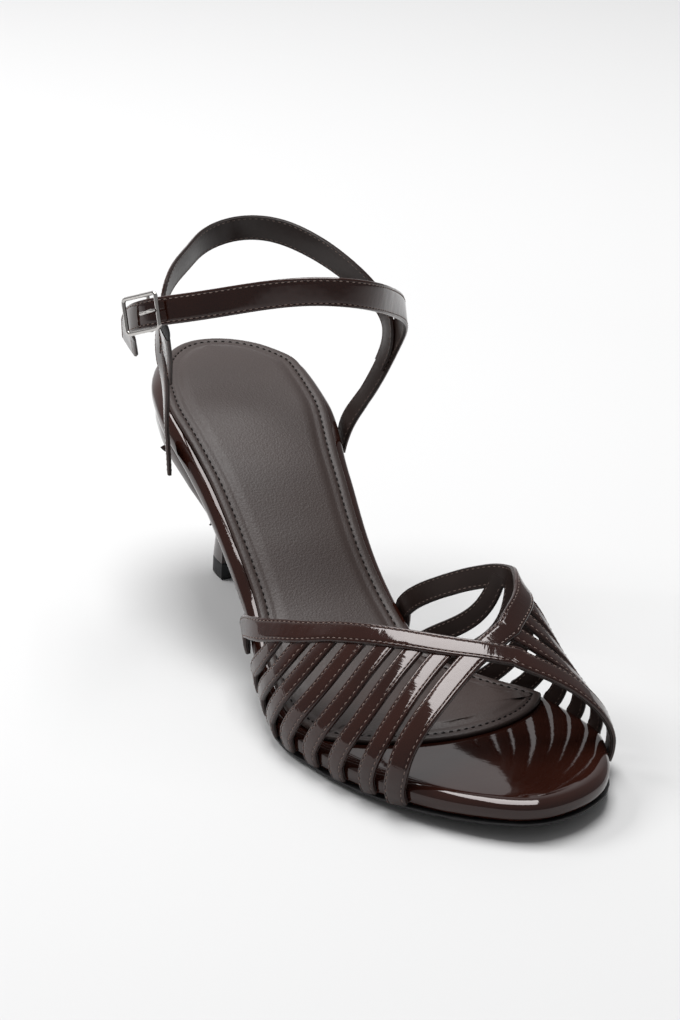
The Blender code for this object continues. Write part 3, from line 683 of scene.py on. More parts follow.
@once
def lining_thread(name):
    """The same thread on the straps' inside, darkened with painted shade."""
    paint = Paint(name, {"Specular IOR Level": 0.3})
    fibres = paint.noise(paint.place(), 2500.0, 2.0)
    base = colours().thread
    # painted shade: the outside thread's colour, only darker
    return paint.finish(paint.tones(fibres, base, 0.5, 0.9), fibres * 0.2 + 0.5)


@once
def sock_thread(name):
    """Dark thread sunk in the lining under the foot."""
    paint = Paint(name, {"Specular IOR Level": 0.3})
    fibres = paint.noise(paint.place(), 2500.0, 2.0)
    base = colours().lining
    return paint.finish(paint.tones(fibres, base, 0.1, 0.5), fibres * 0.2 + 0.6)


@once
def buckle_metal(name):
    """Polished plated metal with hairline wear."""
    paint = Paint(name, {"Metallic": 1.0})
    place = paint.place()
    hair = paint.noise(place, 600.0, 3.0, 0.6)
    base = colours().metal
    colour = paint.tones(hair, base, 0.8, 1.1)
    return paint.finish(colour, hair * 0.14 + 0.10, hair, 0.01 * MM)


@once
def elastic_web(name):
    """Black elastic: ribs along it, read from its own UV map in metres."""
    paint = Paint(name, {"Specular IOR Level": 0.3, "Sheen Weight": 0.3, "Sheen Roughness": 0.5})
    ribs = paint.node("ShaderNodeTexWave", {"bands_direction": "Y"},
                      {"Vector": paint.place(2), "Scale": 330.0, "Distortion": 0.4})
    base = colours().rubber
    colour = paint.tones(ribs, base, 0.7, 3.2)
    return paint.finish(colour, ribs * 0.1 + 0.6, ribs, 0.25 * MM)


@once
def studio_floor(name):
    """Plain pale paper with painted light: its colour is lighter away from the shoe, where the lamps light it
    less.
    """
    paint = Paint(name, {"Roughness": 0.8, "Specular IOR Level": 0.2})
    place = paint.place()
    away = paint.node("ShaderNodeVectorMath", {"operation": "LENGTH"}, {0: place}, 1)
    # painted light: the paper's colour rises with distance from the shoe
    painted_light_share = paint.ramp(away * 0.8 + paint.noise(place, 3.0) * 0.03, (0.25, 0.0), (1.0, 1.0))
    return paint.finish(paint.mix(painted_light_share, (0.595, 0.595, 0.595, 1), (0.69, 0.69, 0.69, 1)))


def quarter(inset, drop, count):
    """Rounded edge as (inset, drop) rows: inset (1 - sin a), drop (1 - cos a) for a from 0 to 90 degrees."""
    angle = np.linspace(0, math.pi / 2, count)
    return np.column_stack([inset * (1 - np.sin(angle)), drop * (1 - np.cos(angle))])


def slab(name, loop, profile, finishes, sharp=40):
    """A closed sheet along the sole: each ring is the outline moved in by inset, then drawn in by pull.

    profile rows are (inset, pull, drop): P = loop(inset) (1 - pull) + middle pull, at top - drop.
    """
    rings = []
    for inset, pull, drop in profile:
        rings.append(under_top(drawn_in(inset_loop(loop, inset), pull), drop))
    return surface(name, np.array(rings), finishes, sharp=sharp)


def with_cap(rows, pulls=(0.15, 0.4, 0.7, 1.0), crown=0.0):
    """Profile rows with a lid drawn in to the middle line before them, raised by crown there."""
    lid = [(rows[0][0], pull, rows[0][2] - crown * math.sin(pull * math.pi / 2)) for pull in reversed(pulls)]
    return lid + [tuple(row) for row in rows]


def with_floor(rows, pulls=(0.5, 1.0)):
    """Profile rows with a flat floor drawn in to the middle line after them."""
    return list(rows) + [(rows[-1][0], pull, rows[-1][2]) for pull in pulls]


def make_platform():
    """Board wrapped in patent leather: a wide rounded rim, and a side that turns in at its foot."""
    stations = arc_stations(0, 1, sizes().outline_steps)
    rim = [(inset, 0.0, drop) for inset, drop in quarter(4.4 * MM, 3.0 * MM, 12)]
    side = [(0.05 * MM, 0.0, 4.6 * MM), (0.3 * MM, 0.0, 6.0 * MM), (0.7 * MM, 0.0, 6.8 * MM),
            (1.3 * MM, 0.0, BOARD_THICKNESS)]
    profile = with_floor(with_cap(rim + side, (0.1, 0.25, 0.45, 0.7, 1.0), 0.25 * MM))
    return keep(slab("platform", sole_loop(stations), profile, [platform_patent()]), "patent", "insole_board")


def make_seat_band():
    """Covered band under the seat, lower and a little narrower towards the arch.

    Each ring is the outline moved in by inset and drawn in by pull, its height's share under the board.
    """
    loop = sole_loop(arc_stations(0, SEAT_BAND_END, 90))
    rings = []
    for inset, pull, share in ((1.9, 1.0, 0.0), (1.9, 0.0, 0.0), (1.2, 0.0, 0.12), (1.15, 0.0, 0.3),
                               (1.2, 0.0, 0.82), (1.5, 0.0, 0.95), (2.1, 0.0, 1.0), (2.1, 1.0, 1.0)):
        flat = inset_loop(loop, inset * MM)
        narrow = eased(station_of(flat[:, 1]), (0.26, SEAT_BAND_END), (0.0, 0.05))
        flat = drawn_in(flat, np.maximum(pull, narrow)[:, None])
        station = station_of(flat[:, 1])
        fall = eased(station, (0.0, BREAST_STATION + 0.02, SEAT_BAND_END), (1.0, 1.0, 0.45)) * share
        rings.append(np.column_stack([flat, board_top(station) - UNDER_BOARD - fall * SEAT_BAND_HEIGHT]))
    return keep(surface("seat_band", np.array(rings), [platform_patent()]), "patent", "seat_rand")


def make_outsole():
    """Black sheet with a thin, slightly uneven trimmed edge, crowned below and tucked in at the arch."""
    stations = arc_stations(SEAT_BAND_END + 0.004, 1, 150)
    tuck = eased(stations, (SEAT_BAND_END, 0.42, 0.53, 1.0), (1.0, 1.0, 0.0, 0.0))
    reach = 0.1 * MM * (1 - tuck) - 3.5 * MM * tuck
    uneven = 0.08 * MM * (np.sin(stations * 210) + np.sin(stations * 93 + 1.0)) * (1 - tuck)
    narrow = eased(stations, (SEAT_BAND_END, 0.36), (0.06, 0.0))
    reach, narrow = [np.append(row, row[::-1])[:, None] for row in (reach + uneven, narrow)]
    top = UNDER_BOARD
    base = top + OUTSOLE_THICKNESS
    rows = [(0.4 * MM, 0.0, top), (0.05 * MM, 0.0, top + 0.2 * MM), (0.0, 0.0, top + 0.8 * MM),
            (0.3 * MM, 0.0, top + 1.1 * MM), (4.0 * MM, 0.0, base - 0.4 * MM), (8.0 * MM, 0.0, base)]
    profile = with_floor(with_cap(rows, (0.5, 1.0)))
    loop = drawn_in(widened(sole_loop(stations), reach), narrow)
    return keep(slab("outsole_sheet", loop, profile, [rubber()]), "outsole", "outsole")


def sock_outline(stations):
    """The lining's edges: the sole's own, rounded off towards its front end."""
    share = np.clip((stations - SOCK_ROUND_START) / (SOCK_END - SOCK_ROUND_START), 0, 1)
    middle = (outer_x(stations) + inner_x(stations)) / 2
    half = (inner_x(stations) - outer_x(stations)) / 2
    return (middle - half * np.sqrt(1 - share ** SOCK_OUTER_POWER),
            middle + half * np.sqrt(1 - share ** SOCK_INNER_POWER))


def sock_loop(count):
    """The lining's outline, with its stations packed towards both ends."""
    stations = (1 - np.cos(np.linspace(0, math.pi, count))) / 2 * SOCK_END
    return edge_loop(stations, *sock_outline(stations))


def make_sock():
    """Lining with a plain margin, a sunk stitch line, an edge groove and a padded middle."""
    inset = sizes().sock_inset
    rows = [(0.3, 0.3), (0.0, 0.6), (0.0, 1.1), (0.2, 1.42), (0.7, 1.62), (1.6, 1.68), (2.3, 1.62),
            (2.7, 1.42), (3.1, 1.42), (3.5, 1.62), (4.2, 1.78), (5.0, 1.66), (5.7, 1.74), (6.6, 2.05),
            (7.6, 2.3)]
    top_rows = [(inset + edge * MM, 0.0, -height * MM) for edge, height in reversed(rows)]
    profile = with_floor(with_cap(top_rows, (0.1, 0.3, 0.6, 1.0), 0.35 * MM), (0.5, 1.0))
    piece = slab("sock", sock_loop(sizes().outline_steps), profile, [sock_leather()], sharp=60)
    return keep(piece, "lining", "sock_lining")


def heel_ring(up, width, depth, spread):
    """One section at a height share: x = -half sign(cos a) |cos a|^(2/n), y = depth (sin a^(2/n) - setback).

    It spreads from the stem's own section (0) to the seat's outline (1).
    """
    seat = widened(sole_loop(arc_stations(0, BREAST_STATION, HEEL_ARC_COUNT)[::-1]), CUP_REACH)
    angle = np.linspace(0, math.pi, len(seat))
    power = 2 / STEM_POWER
    across = -np.sign(np.cos(angle)) * np.abs(np.cos(angle)) ** power * TIP_WIDTH / 2 * width
    along = (np.abs(np.sin(angle)) ** power - STEM_SETBACK) * TIP_DEPTH * depth
    flat = np.stack([across, along], axis=1) * (1 - spread) + seat * spread
    under = board_top(station_of(flat[:, 1])) - UNDER_BOARD - SEAT_BAND_HEIGHT - GAP
    foot = TIP_HEIGHT + GAP
    return np.column_stack([flat, foot + up * (under - foot)])


def make_heel():
    """Covered heel: cup under the seat, slim waist, flared foot."""
    ups = np.linspace(0, 1, HEEL_SECTION_COUNT)
    columns = [eased(ups, HEEL_SECTIONS[:, 0], HEEL_SECTIONS[:, c]) for c in (1, 2, 3)]
    rings = [heel_ring(*section) for section in zip(ups, *columns)]
    piece = surface("heel_cover", capped(np.array(rings)), [heel_leather()], sharp=50)
    return keep(piece, "heel_cover", "heel")


def make_heel_tip():
    """Top piece: flat on the floor, a hair proud of the heel."""
    rings = []
    for height, grow in ((0.0, 0.96), (0.4 * MM, 1.0), (TIP_HEIGHT * 0.5, 0.985),
                         (TIP_HEIGHT - 0.3 * MM, 0.975), (TIP_HEIGHT, 0.955)):
        ring = heel_ring(0.0, grow, grow, 0.0)
        ring[:, 2] = height
        rings.append(ring)
    piece = surface("top_piece", capped(np.array(rings)), [rubber()], sharp=50)
    return keep(piece, "tip", "heel_tip")


def rim_depth(turn):
    """How far down the board's rim a turn lies, outside 0 to 1: a share of the rim's drop."""
    return (np.maximum(-turn, 0) + np.maximum(turn - 1, 0)) * RIM_RUN / RIM_DROP


def vamp_surface(path):
    """The surface under the vamp's straps, for rows of station s and turn t.

    x = middle - half sign(cos a) |cos a|^(2/n) + ridge sin(a)^2, z = rim + crown sin(a)^(2/n), with
    a = pi t; under a turn of 0 and over 1 it drops down the rim, RIM_RUN for a whole turn, and tucks in.
    """
    station = path[:, 0]
    angle = math.pi * np.clip(path[:, 1], 0, 1)
    cosine = np.cos(angle)
    sine = np.abs(np.sin(angle))
    crown, ridge, inner_power = [eased(station, CROWN[:, 0], CROWN[:, c]) for c in (1, 2, 3)]
    power = 2 / np.where(cosine > 0, OUTER_POWER, inner_power)
    outer = outer_x(station)
    inner = inner_x(station)
    half = (inner - outer) / 2 + STRAP_STANDOFF + SIDE_BULGE * sine
    x = (outer + inner) / 2 - half * np.sign(cosine) * np.abs(cosine) ** power
    x = x + ridge * BALL_WIDTH * sine ** 2
    rise = crown * INSTEP_HEIGHT * sine ** power
    below = rim_depth(path[:, 1])
    x = x + np.where(path[:, 1] < 0.5, 1, -1) * RIM_TUCK * below ** 2
    z = board_top(station) + rise - (RIM_SINK + below * RIM_DROP) * toe_share(station)
    return np.stack([x, y_of(station) - VAMP_LEAN * rise, z], axis=1)


def vamp_normal(at):
    """Outward normals of the vamp surface, from its two slopes."""
    ahead = vamp_surface(at + (SURFACE_STEP, 0)) - vamp_surface(at - (SURFACE_STEP, 0))
    over = vamp_surface(at + (0, SURFACE_STEP)) - vamp_surface(at - (0, SURFACE_STEP))
    normal = unit(np.cross(over, ahead))
    spot = vamp_surface(at)
    station = at[:, 0]
    inside = np.stack([(outer_x(station) + inner_x(station)) / 2, spot[:, 1],
                       np.minimum(board_top(station), spot[:, 2])], axis=1)
    return normal * np.sign((normal * (spot - inside)).sum(axis=1, keepdims=True))


def down_the_rim(route, ends=(True, True)):
    """The route with its ends run down to the board's underside."""
    drop = np.linspace(0, RIM_DROP * 0.96 / RIM_RUN, 12)[1:]
    side = 1 if route[-1, 1] > 0.5 else -1
    first = np.column_stack([np.full(len(drop), route[0, 0]), -drop if side > 0 else 1 + drop])[::-1]
    last = np.column_stack([np.full(len(drop), route[-1, 0]), route[-1, 1] + side * drop])
    return np.vstack([first] * ends[0] + [route] + [last] * ends[1])


def narrow_route(band, top_station, foot_station, side):
    """From under its band, swelling forward, down to the rim on its side (0 outer, 1 inner)."""
    route = flowing(band)
    order = np.argsort(route[:, 0])
    top_turn = np.interp(top_station, route[order, 0], route[order, 1])
    v = np.linspace(0, 1, 60)
    swell = STRAP_SWELL * min(1, abs(top_turn - side) / FULL_SWELL_TURN)
    station = top_station + (foot_station - top_station) * v + swell * np.sin(math.pi * v)
    turn = top_turn + (side - top_turn) * v
    return down_the_rim(np.stack([station, turn], axis=1), (False, True))


def follow_rim(rings, middle_y, share):
    """Shear the sections so that their ends run along the sloping rim; share is 0 to 1 a section."""
    slope = board_top(station_of(rings[:, :, 1])) - board_top(station_of(middle_y))[:, None]
    rings[:, :, 2] += slope * np.asarray(share)[:, None]
    return rings


def strap_profile(width, thickness, seam):
    """Section of a folded strap as (side, edge distance, height, inside) columns.

    The outer leather rounds over the edges, dips at its seams and swells between them; the lining is
    flat and set in by a fine groove.
    """
    half = thickness / 2
    over = [(0.0, 0.0), (0.10 * MM, 0.50 * half), (0.30 * MM, 0.86 * half), (0.60 * MM, 1.0 * half),
            (seam - 0.12 * MM, 0.97 * half), (seam, 0.80 * half), (seam + 0.15 * MM, 0.97 * half),
            (seam + 0.6 * MM, 1.04 * half), (seam + 1.1 * MM, 1.07 * half)]
    under = [(0.22 * MM, -0.30 * half), (0.12 * MM, -0.55 * half), (0.35 * MM, -0.95 * half),
             (seam, -0.92 * half), (seam + 0.5 * MM, -1.0 * half)]
    rows = [(-1, e, h, 0) for e, h in over] + [(0, 0.0, 1.09 * half, 0)]
    rows += [(1, e, h, 0) for e, h in reversed(over)]
    rows += [(1, e, h, 1) for e, h in under] + [(0, 0.0, -1.0 * half, 1)]
    rows += [(-1, e, h, 1) for e, h in reversed(under)]
    return np.array(rows)


def strap(name, middle, facing, width, thickness, lift=0.0, shear=None, pucker=0.05 * MM):
    """A sewn strap: P(i, j) = M(i) + S(i) across(j) + F(i) (lift(i) + height(j)) along its middle line.

    Returns the piece and a function that places points on its outer or inner face.
    """
    tangent, side, face = axes_along(middle, facing)
    width = np.broadcast_to(width, (len(middle),))[:, None]
    lift = np.broadcast_to(lift, (len(middle),))[:, None]
    sign, edge, height, inside = strap_profile(width, thickness, sizes().seam_inset).T
    across = sign * (width / 2 - edge)
    run = lengths_along(middle)[:, None]
    dip = pucker * (0.5 + 0.5 * np.cos(2 * math.pi * run / sizes().stitch_pitch))
    near = np.exp(-((edge - sizes().seam_inset) / (0.35 * MM)) ** 2) * np.abs(sign)
    out = lift + height - dip * near * np.sign(height)
    grid = middle[:, None] + side[:, None] * across[..., None] + face[:, None] * out[..., None]
    if shear is not None:
        grid = follow_rim(grid, middle[:, 1], shear)
    around = np.append(across[0] + np.sign(height) * 0.01, across[0, 0])
    uv = np.stack(np.broadcast_arrays(run, around[None]), axis=-1)
    slots = ((inside + np.roll(inside, -1)) > 0).astype(np.int32)
    uv = np.concatenate([uv[:1], uv, uv[-1:]])
    piece = surface(name, pointed(grid), [strap_patent(), strap_lining()], slots, uv)

    def on_face(at, offset, outward):
        """Place, tangent, side and face at length at, offset across; outward is 1 or -1."""
        keys = run[:, 0]
        pick = [rows_at(at, keys, rows) for rows in (middle, tangent, side, face)]
        half = np.interp(at, keys, width[:, 0]) / 2
        rise = np.interp(at, keys, lift[:, 0]) + outward * thickness / 2 * 0.80
        shift = offset(half)
        spot = pick[0] + pick[2] * shift[:, None] + pick[3] * rise[:, None]
        if shear is not None:
            share = np.interp(at, keys, shear)
            spot[:, 2] += (board_top(station_of(spot[:, 1])) - board_top(station_of(pick[0][:, 1]))) * share
        return spot, pick[1], pick[2], pick[3] * outward
    return piece, on_face, run[-1, 0]


def stitch_rows(on_face, length, start, outward):
    """Frames of the stitches of a strap's two seams, outside (1) or inside (-1)."""
    pitch = sizes().stitch_pitch
    at = np.arange(start + pitch / 2, length - STITCH_MARGIN, pitch)
    inset = sizes().seam_inset
    rows = [on_face(at, lambda half, s=s: s * (half - inset), outward) for s in (-1, 1)]
    return [np.concatenate(parts) for parts in zip(*rows)]


def stitches(name, frames, finish, length=None, width=None):
    """One mesh of stitches: each a hexagonal thread bowed up out of its two holes.

    P = O + T x + (S cos b + F sin b) r(x) + F bow(x), with x from -length / 2 to length / 2.
    """
    length = length or sizes().stitch_length
    width = width or sizes().thread_width
    spot, tangent, side, face = [np.concatenate(parts)[:, None, None] for parts in zip(*frames)]
    x = np.array([-0.5, -0.38, 0.0, 0.38, 0.5]) * length
    radius = np.array([0.35, 0.9, 1.0, 0.9, 0.35]) * width / 2
    rise = np.array([-0.25, 0.15, 0.45, 0.15, -0.25]) * width
    turn = np.arange(STITCH_COLUMNS) * 2 * math.pi / STITCH_COLUMNS
    ring = side * np.cos(turn)[None, None, :, None] + face * np.sin(turn)[None, None, :, None]
    grid = (spot + tangent * x[None, :, None, None] + ring * radius[None, :, None, None]
            + face * rise[None, :, None, None])
    local = np.arange(len(x) * STITCH_COLUMNS)
    caps = np.array([[3, 2, 1, 0], [5, 4, 3, 0], [24, 25, 26, 27], [24, 27, 28, 29]])
    faces = np.concatenate([grid_quads(local.reshape(len(x), STITCH_COLUMNS)), caps])
    faces = (faces[None] + np.arange(len(grid))[:, None, None] * len(local)).reshape(-1, 4)
    mesh = bpy.data.meshes.new(name)
    mesh.from_pydata(grid.reshape(-1, 3), [], faces.tolist())
    turn_out(mesh, False)
    return add_piece(name, mesh, [finish])


def sew(name, node, seams):
    """Stitches outside and inside on straps; seams is rows of a strap's on_face, length and start."""
    for side, outward, finish in (("", 1, thread()), ("inside_", -1, lining_thread())):
        frames = [stitch_rows(*seam, outward) for seam in seams]
        keep(stitches(f"{name}_{side}stitches", frames, finish), "patent", node)


def vamp_strap(name, route, width, thickness, lift):
    """A strap on the vamp surface; route is rows of station and turn."""
    keys = lengths_along(vamp_surface(route))
    at = rows_at(spaced(keys[-1], sizes().step), keys, route)
    return strap(name, vamp_surface(at), vamp_normal(at), width, thickness, lift, rim_depth(at[:, 1]))


def make_vamp():
    """Two crossing bands over seven narrow straps a side, all sewn along both edges."""
    size = sizes()
    band = (size.band_width, size.band_thickness)
    narrow = (size.narrow_width, size.narrow_thickness)
    plans = [("over_band", down_the_rim(flowing(OVER_BAND)), band, 0.8 * MM, 1.0 * MM),
             ("under_band", down_the_rim(flowing(UNDER_BAND)), band, 0.35 * MM, 1.0 * MM)]
    sides = (("outer", OVER_BAND, OUTER_STRAPS), ("inner", UNDER_BAND, INNER_STRAPS))
    for side, (word, over, table) in enumerate(sides):
        for number, (top, foot) in enumerate(table, 1):
            route = narrow_route(over, top, foot, side)
            plans.append((f"{word}_strap_{number}", route, narrow, 0.0, 3.0 * MM))
    seams = []
    for name, route, section, lift, start in plans:
        piece, on_face, length = vamp_strap(name, route, *section, lift)
        keep(piece, "patent", "vamp")
        seams.append((on_face, length, start))
    sew("vamp", "vamp", seams)


def ankle_points(table):
    """Shares of the ankle width, the sole's length and the sling's height as points."""
    return np.asarray(table) * (ANKLE_WIDTH, SOLE_LENGTH, SLING_HEIGHT)


def ankle_facing(middle):
    """Outward: square to the rim at the stays' feet, away from the ankle's axis and leaning up above."""
    side = np.sign(middle[:, 0])
    station = station_of(middle[:, 1])
    spread = np.where(side > 0, inner_x(station + SURFACE_STEP) - inner_x(station - SURFACE_STEP),
                      outer_x(station + SURFACE_STEP) - outer_x(station - SURFACE_STEP))
    rim = np.column_stack([side, side * spread / (2 * SURFACE_STEP * SOLE_LENGTH), np.zeros(len(middle))])
    away = middle - (0, ANKLE_AXIS * SOLE_LENGTH, 0)
    away[:, 2] = 0
    away = unit(away)
    away[:, 2] = SLING_LEAN
    rise = np.clip((middle[:, 2] / SLING_HEIGHT - 0.55) / 0.3, 0, 1)[:, None]
    return unit(unit(rim) * (1 - rise) + unit(away) * rise)


def ankle_strap(name, table, widths, tuck, turns):
    """A strap round the ankle, as rows of share of its length with width, tuck depth or turn in degrees."""
    step = sizes().step
    middle = smoothed(even(flowing(ankle_points(table), 1200), step), step, ANKLE_SMOOTHING)
    share = np.linspace(0, 1, len(middle))
    width = eased(share, *zip(*widths))
    lift = -np.interp(share, *zip(*tuck))
    foot = 1 - np.clip((middle[:, 2] / SLING_HEIGHT - FOOT_SHARE) / FOOT_BLEND, 0, 1)
    turn = np.radians(np.interp(share, *zip(*turns)))
    facing = ankle_facing(middle)
    x, y, z = facing.T
    facing = np.stack([x * np.cos(turn) - y * np.sin(turn), x * np.sin(turn) + y * np.cos(turn), z], axis=1)
    return strap(name, middle, facing, width, sizes().sling_thickness * 0.9, lift, foot)


def make_ankle():
    """Front strap with the inner stay, back strap with the outer stay, and the arm to the elastic."""
    stay = sizes().stay_width
    sling = sizes().sling_width
    plans = [
        ("front_strap", np.vstack([INNER_STAY, FRONT_STRAP]),
         ((0, stay), (0.12, stay), (0.25, sling), (1, sling)),
         ((0, 0.0), (1, 0.0)), ((0, 0), (0.87, 0), (0.94, 35), (1, 40))),
        ("back_strap", BACK_LOOP, ((0, 0.8 * stay), (0.1, sling), (0.75, sling), (0.86, stay), (1, stay)),
         ((0, 0.9 * MM), (0.06, 0.7 * MM), (0.12, 0.0)), ((0, 0), (0.80, 0), (0.92, -22), (1, -24))),
        ("outer_arm", OUTER_ARM, ((0, 0.8 * stay), (0.6, stay), (1, 2 * ELASTIC_HALF_WIDTH)),
         ((0, 0.7 * MM), (1, 0.0)), ((0, 0), (1, 0)))]
    seams = []
    for name, table, widths, tuck, turns in plans:
        piece, on_face, length = ankle_strap(name, table, widths, tuck, turns)
        keep(piece, "patent", "ankle_sling")
        seams.append((on_face, length, STITCH_MARGIN))
    sew("ankle", "ankle_sling", seams)


def buckle_axes():
    """Where the buckle sits on the front strap: its middle, and its along, up and outward directions."""
    middle = even(flowing(ankle_points(np.vstack([INNER_STAY, FRONT_STRAP])), 1200), sizes().step)
    low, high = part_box("buckle_frame")
    centre = np.array((low + high) / 2)
    i = int(np.linalg.norm(middle - centre, axis=1).argmin())
    tangent, side, face = [rows[i] for rows in axes_along(middle, ankle_facing(middle))]
    if side[2] < 0:
        side = -side
    return middle[i], tangent, side, face


def wire(name, points, radii, closed=False, count=14):
    """A round wire: P(i, k) = C(i) + r(i) (A cos k + B sin k), square to its path."""
    points = np.asarray(points, float)
    if closed:
        tangent = unit(np.roll(points, -1, axis=0) - np.roll(points, 1, axis=0))
    else:
        tangent = unit(np.gradient(points, axis=0))
    facing = buckle_axes()[3]
    first = unit(np.cross(tangent, facing))
    second = unit(np.cross(first, tangent))
    turn = np.arange(count) * 2 * math.pi / count
    radii = np.broadcast_to(radii, (len(points),))[:, None, None]
    grid = points[:, None] + (first[:, None] * np.cos(turn)[None, :, None]
                              + second[:, None] * np.sin(turn)[None, :, None]) * radii
    grid = np.concatenate([grid, grid[:1]]) if closed else pointed(grid)
    return surface(name, grid, [buckle_metal()])


def rounded_rectangle(length, height, radius, steps=8):
    """A rectangle's outline with quarter circles at its corners."""
    corner = np.linspace(0, math.pi / 2, steps + 1)
    points = []
    for sx, sy, quarter_turn in ((1, 1, 0), (-1, 1, 1), (-1, -1, 2), (1, -1, 3)):
        angle = corner + quarter_turn * math.pi / 2
        points.append(np.column_stack([sx * (length / 2 - radius) + radius * np.cos(angle),
                                       sy * (height / 2 - radius) + radius * np.sin(angle)]))
    return np.vstack(points)


def make_buckle():
    """Rectangular frame, the bar behind the strap and a prong over it."""
    middle, tangent, side, face = buckle_axes()
    strap_face = sizes().sling_thickness / 2 + GAP
    radius = WIRE_RADIUS
    lift = strap_face + radius
    height = sizes().sling_width + 2 * (GAP + radius)
    length = BUCKLE_LENGTH - 2 * radius
    outline = rounded_rectangle(length, height, BUCKLE_CORNER)
    path = middle + tangent * outline[:, :1] + side * outline[:, 1:] + face * lift
    keep(wire("buckle_rim", path, radius, True, 16), "metal", "buckle_frame")
    bend = np.linspace(0, 1, 7)
    drop = np.interp(bend, (0, 0.5, 1), (lift, 0.2 * lift, -lift))
    half = height / 2
    bar = [(half, w) for w in drop] + [(v, -lift) for v in (half * 0.9, 0, -half * 0.9)]
    bar += [(-half, w) for w in drop[::-1]]
    path = np.array([middle + side * v + face * w for v, w in bar])
    keep(wire("buckle_bar", even(path, 0.4 * MM), radius * 0.8), "metal", "buckle_frame")
    low = strap_face + PRONG_RADIUS
    rest = lift + radius + GAP + PRONG_RADIUS
    reach = length / 2
    prong = np.array([(0.4 * MM, low), (-1.6 * MM, low + 0.1 * MM), (-reach + 2.4 * MM, rest - 0.3 * MM),
                      (-reach + 1.0 * MM, rest), (-reach - 0.7 * MM, rest - 0.1 * MM)])
    path = np.array([middle + tangent * u + face * w for u, w in flowing(prong, 30)])
    radii = np.interp(np.linspace(0, 1, 30), (0, 0.8, 1.0), (0.62, 0.55, 0.3)) * MM
    keep(wire("buckle_tongue", path, radii), "metal", "buckle_prong")


def make_elastic():
    """Ribbed elastic from the outer arm to the buckle's bar, inside the strap."""
    middle, tangent, side, face = buckle_axes()
    arm = ankle_points(OUTER_ARM)
    direction = unit(arm[-1] - arm[-2])
    start = arm[-1] + direction * GAP
    under = sizes().sling_thickness / 2 + GAP + ELASTIC_DEPTH + GAP + 0.6 * MM
    end = middle - face * under - tangent * 1.6 * MM
    t = np.linspace(0, 1, 40)[:, None]
    pull = np.linalg.norm(end - start) * 0.4
    first = start + direction * pull
    last = end + tangent * pull
    path = start * (1 - t) ** 3 + 3 * first * t * (1 - t) ** 2 + 3 * last * t ** 2 * (1 - t) + end * t ** 3
    along, across, out = axes_along(path, ankle_facing(path))
    columns = np.linspace(-1, 1, 31)
    ribs = 0.5 * MM + 0.12 * MM * np.cos(columns * 7 * math.pi)
    profile = np.vstack([np.column_stack([columns, ribs]), np.column_stack([columns[::-1], -ribs])])
    grid = (path[:, None] + across[:, None] * profile[None, :, :1] * ELASTIC_HALF_WIDTH
            + out[:, None] * profile[None, :, 1:])
    return keep(surface("elastic_web", pointed(grid), [elastic_web()]), "elastic", "elastic_tab")


def sock_seam():
    """Frames of the stitches round the lining, in their sunk line."""
    loop = inset_loop(sock_loop(400), sizes().sock_inset + SOCK_SEAM_INSET)
    loop = np.column_stack([loop, board_top(station_of(loop[:, 1])) + SOCK_SEAM_HEIGHT])
    path = even(np.vstack([loop, loop[:1]]), SOCK_STITCH_PITCH)
    return (path, *axes_along(path, (0.0, 0.0, 1.0)))


def make_sock_stitches():
    """Larger, dark stitches in the lining's sunk line."""
    piece = stitches("sock_stitches", [sock_seam()], sock_thread(), SOCK_STITCH_LENGTH, SOCK_THREAD_WIDTH)
    return keep(piece, "lining", "sock_lining")


def area_light(name, place, target, size, power, mirrored=True):
    """A soft box at place, turned to target; mirrored tells whether glossy leather shows it."""
    light = bpy.data.lights.new(name, "AREA")
    light.shape = "RECTANGLE"
    light.size = size[0]
    light.size_y = size[1]
    light.energy = power
    holder = bpy.data.objects.new(name, light)
    holder.location = place
    back = unit(np.array(place, float) - np.array(target, float))
    azimuth = math.atan2(back[0], -back[1])
    holder.rotation_euler = (math.pi / 2 - math.asin(back[2]), 0, azimuth)
    holder.visible_glossy = mirrored
    bpy.context.scene.collection.objects.link(holder)


def make_surroundings():
    """Studio round the shoe: white paper low behind it, and a dim room elsewhere.

    The brightness is dim + (paper - dim) ramp(direction . paper axis).
    """
    world = bpy.data.worlds.new("surroundings")
    world.use_nodes = True
    nodes = Nodes(world.node_tree)
    paper = tuple(unit(np.array((0.12, 0.97, 0.22))))
    facing = nodes.node("ShaderNodeVectorMath", {"operation": "DOT_PRODUCT"},
                        {0: nodes.node("ShaderNodeTexCoord"), 1: paper}, 1)
    tone = nodes.ramp(facing, (0.66, (0.27, 0.27, 0.2727)), (1.0, (1.0, 1.0, 1.01)))
    nodes.feed(world.node_tree.nodes["Background"].inputs["Color"], tone)
    bpy.context.scene.world = world


def camera_matrix():
    """The camera's place and turns: azimuth, elevation, then roll about its own axis."""
    return (Matrix.Translation(CAMERA_PLACE) @ Matrix.Rotation(math.radians(CAMERA_AZIMUTH), 4, "Z")
            @ Matrix.Rotation(math.radians(90 - CAMERA_ELEVATION), 4, "X")
            @ Matrix.Rotation(math.radians(CAMERA_ROLL), 4, "Z"))


def make_stage():
    """Floor, soft boxes, pale surroundings and the camera."""
    reach = np.linspace(-4, 4, 9)
    x, y = np.meshgrid(reach, reach)
    paper = np.stack([x, y, np.full_like(x, -0.02 * MM)], axis=-1)
    floor = surface("floor", paper, [studio_floor()], closed=False)
    area_light("key", (0.11, 0.22, 1.56), (0.0, -0.10, 0.03), (0.80, 1.05), 27)
    area_light("side", (-0.70, 0.62, 0.90), (-0.02, -0.08, 0.02), (0.6, 0.5), 10, False)
    make_surroundings()
    bpy.context.scene.view_settings.view_transform = "Standard"
    data = bpy.data.cameras.new("camera")
    data.lens = CAMERA_LENS
    data.sensor_width = CAMERA_SENSOR
    data.clip_start = 0.01
    camera = bpy.data.objects.new("camera", data)
    camera.matrix_world = camera_matrix()
    bpy.context.scene.collection.objects.link(camera)
    bpy.context.scene.camera = camera


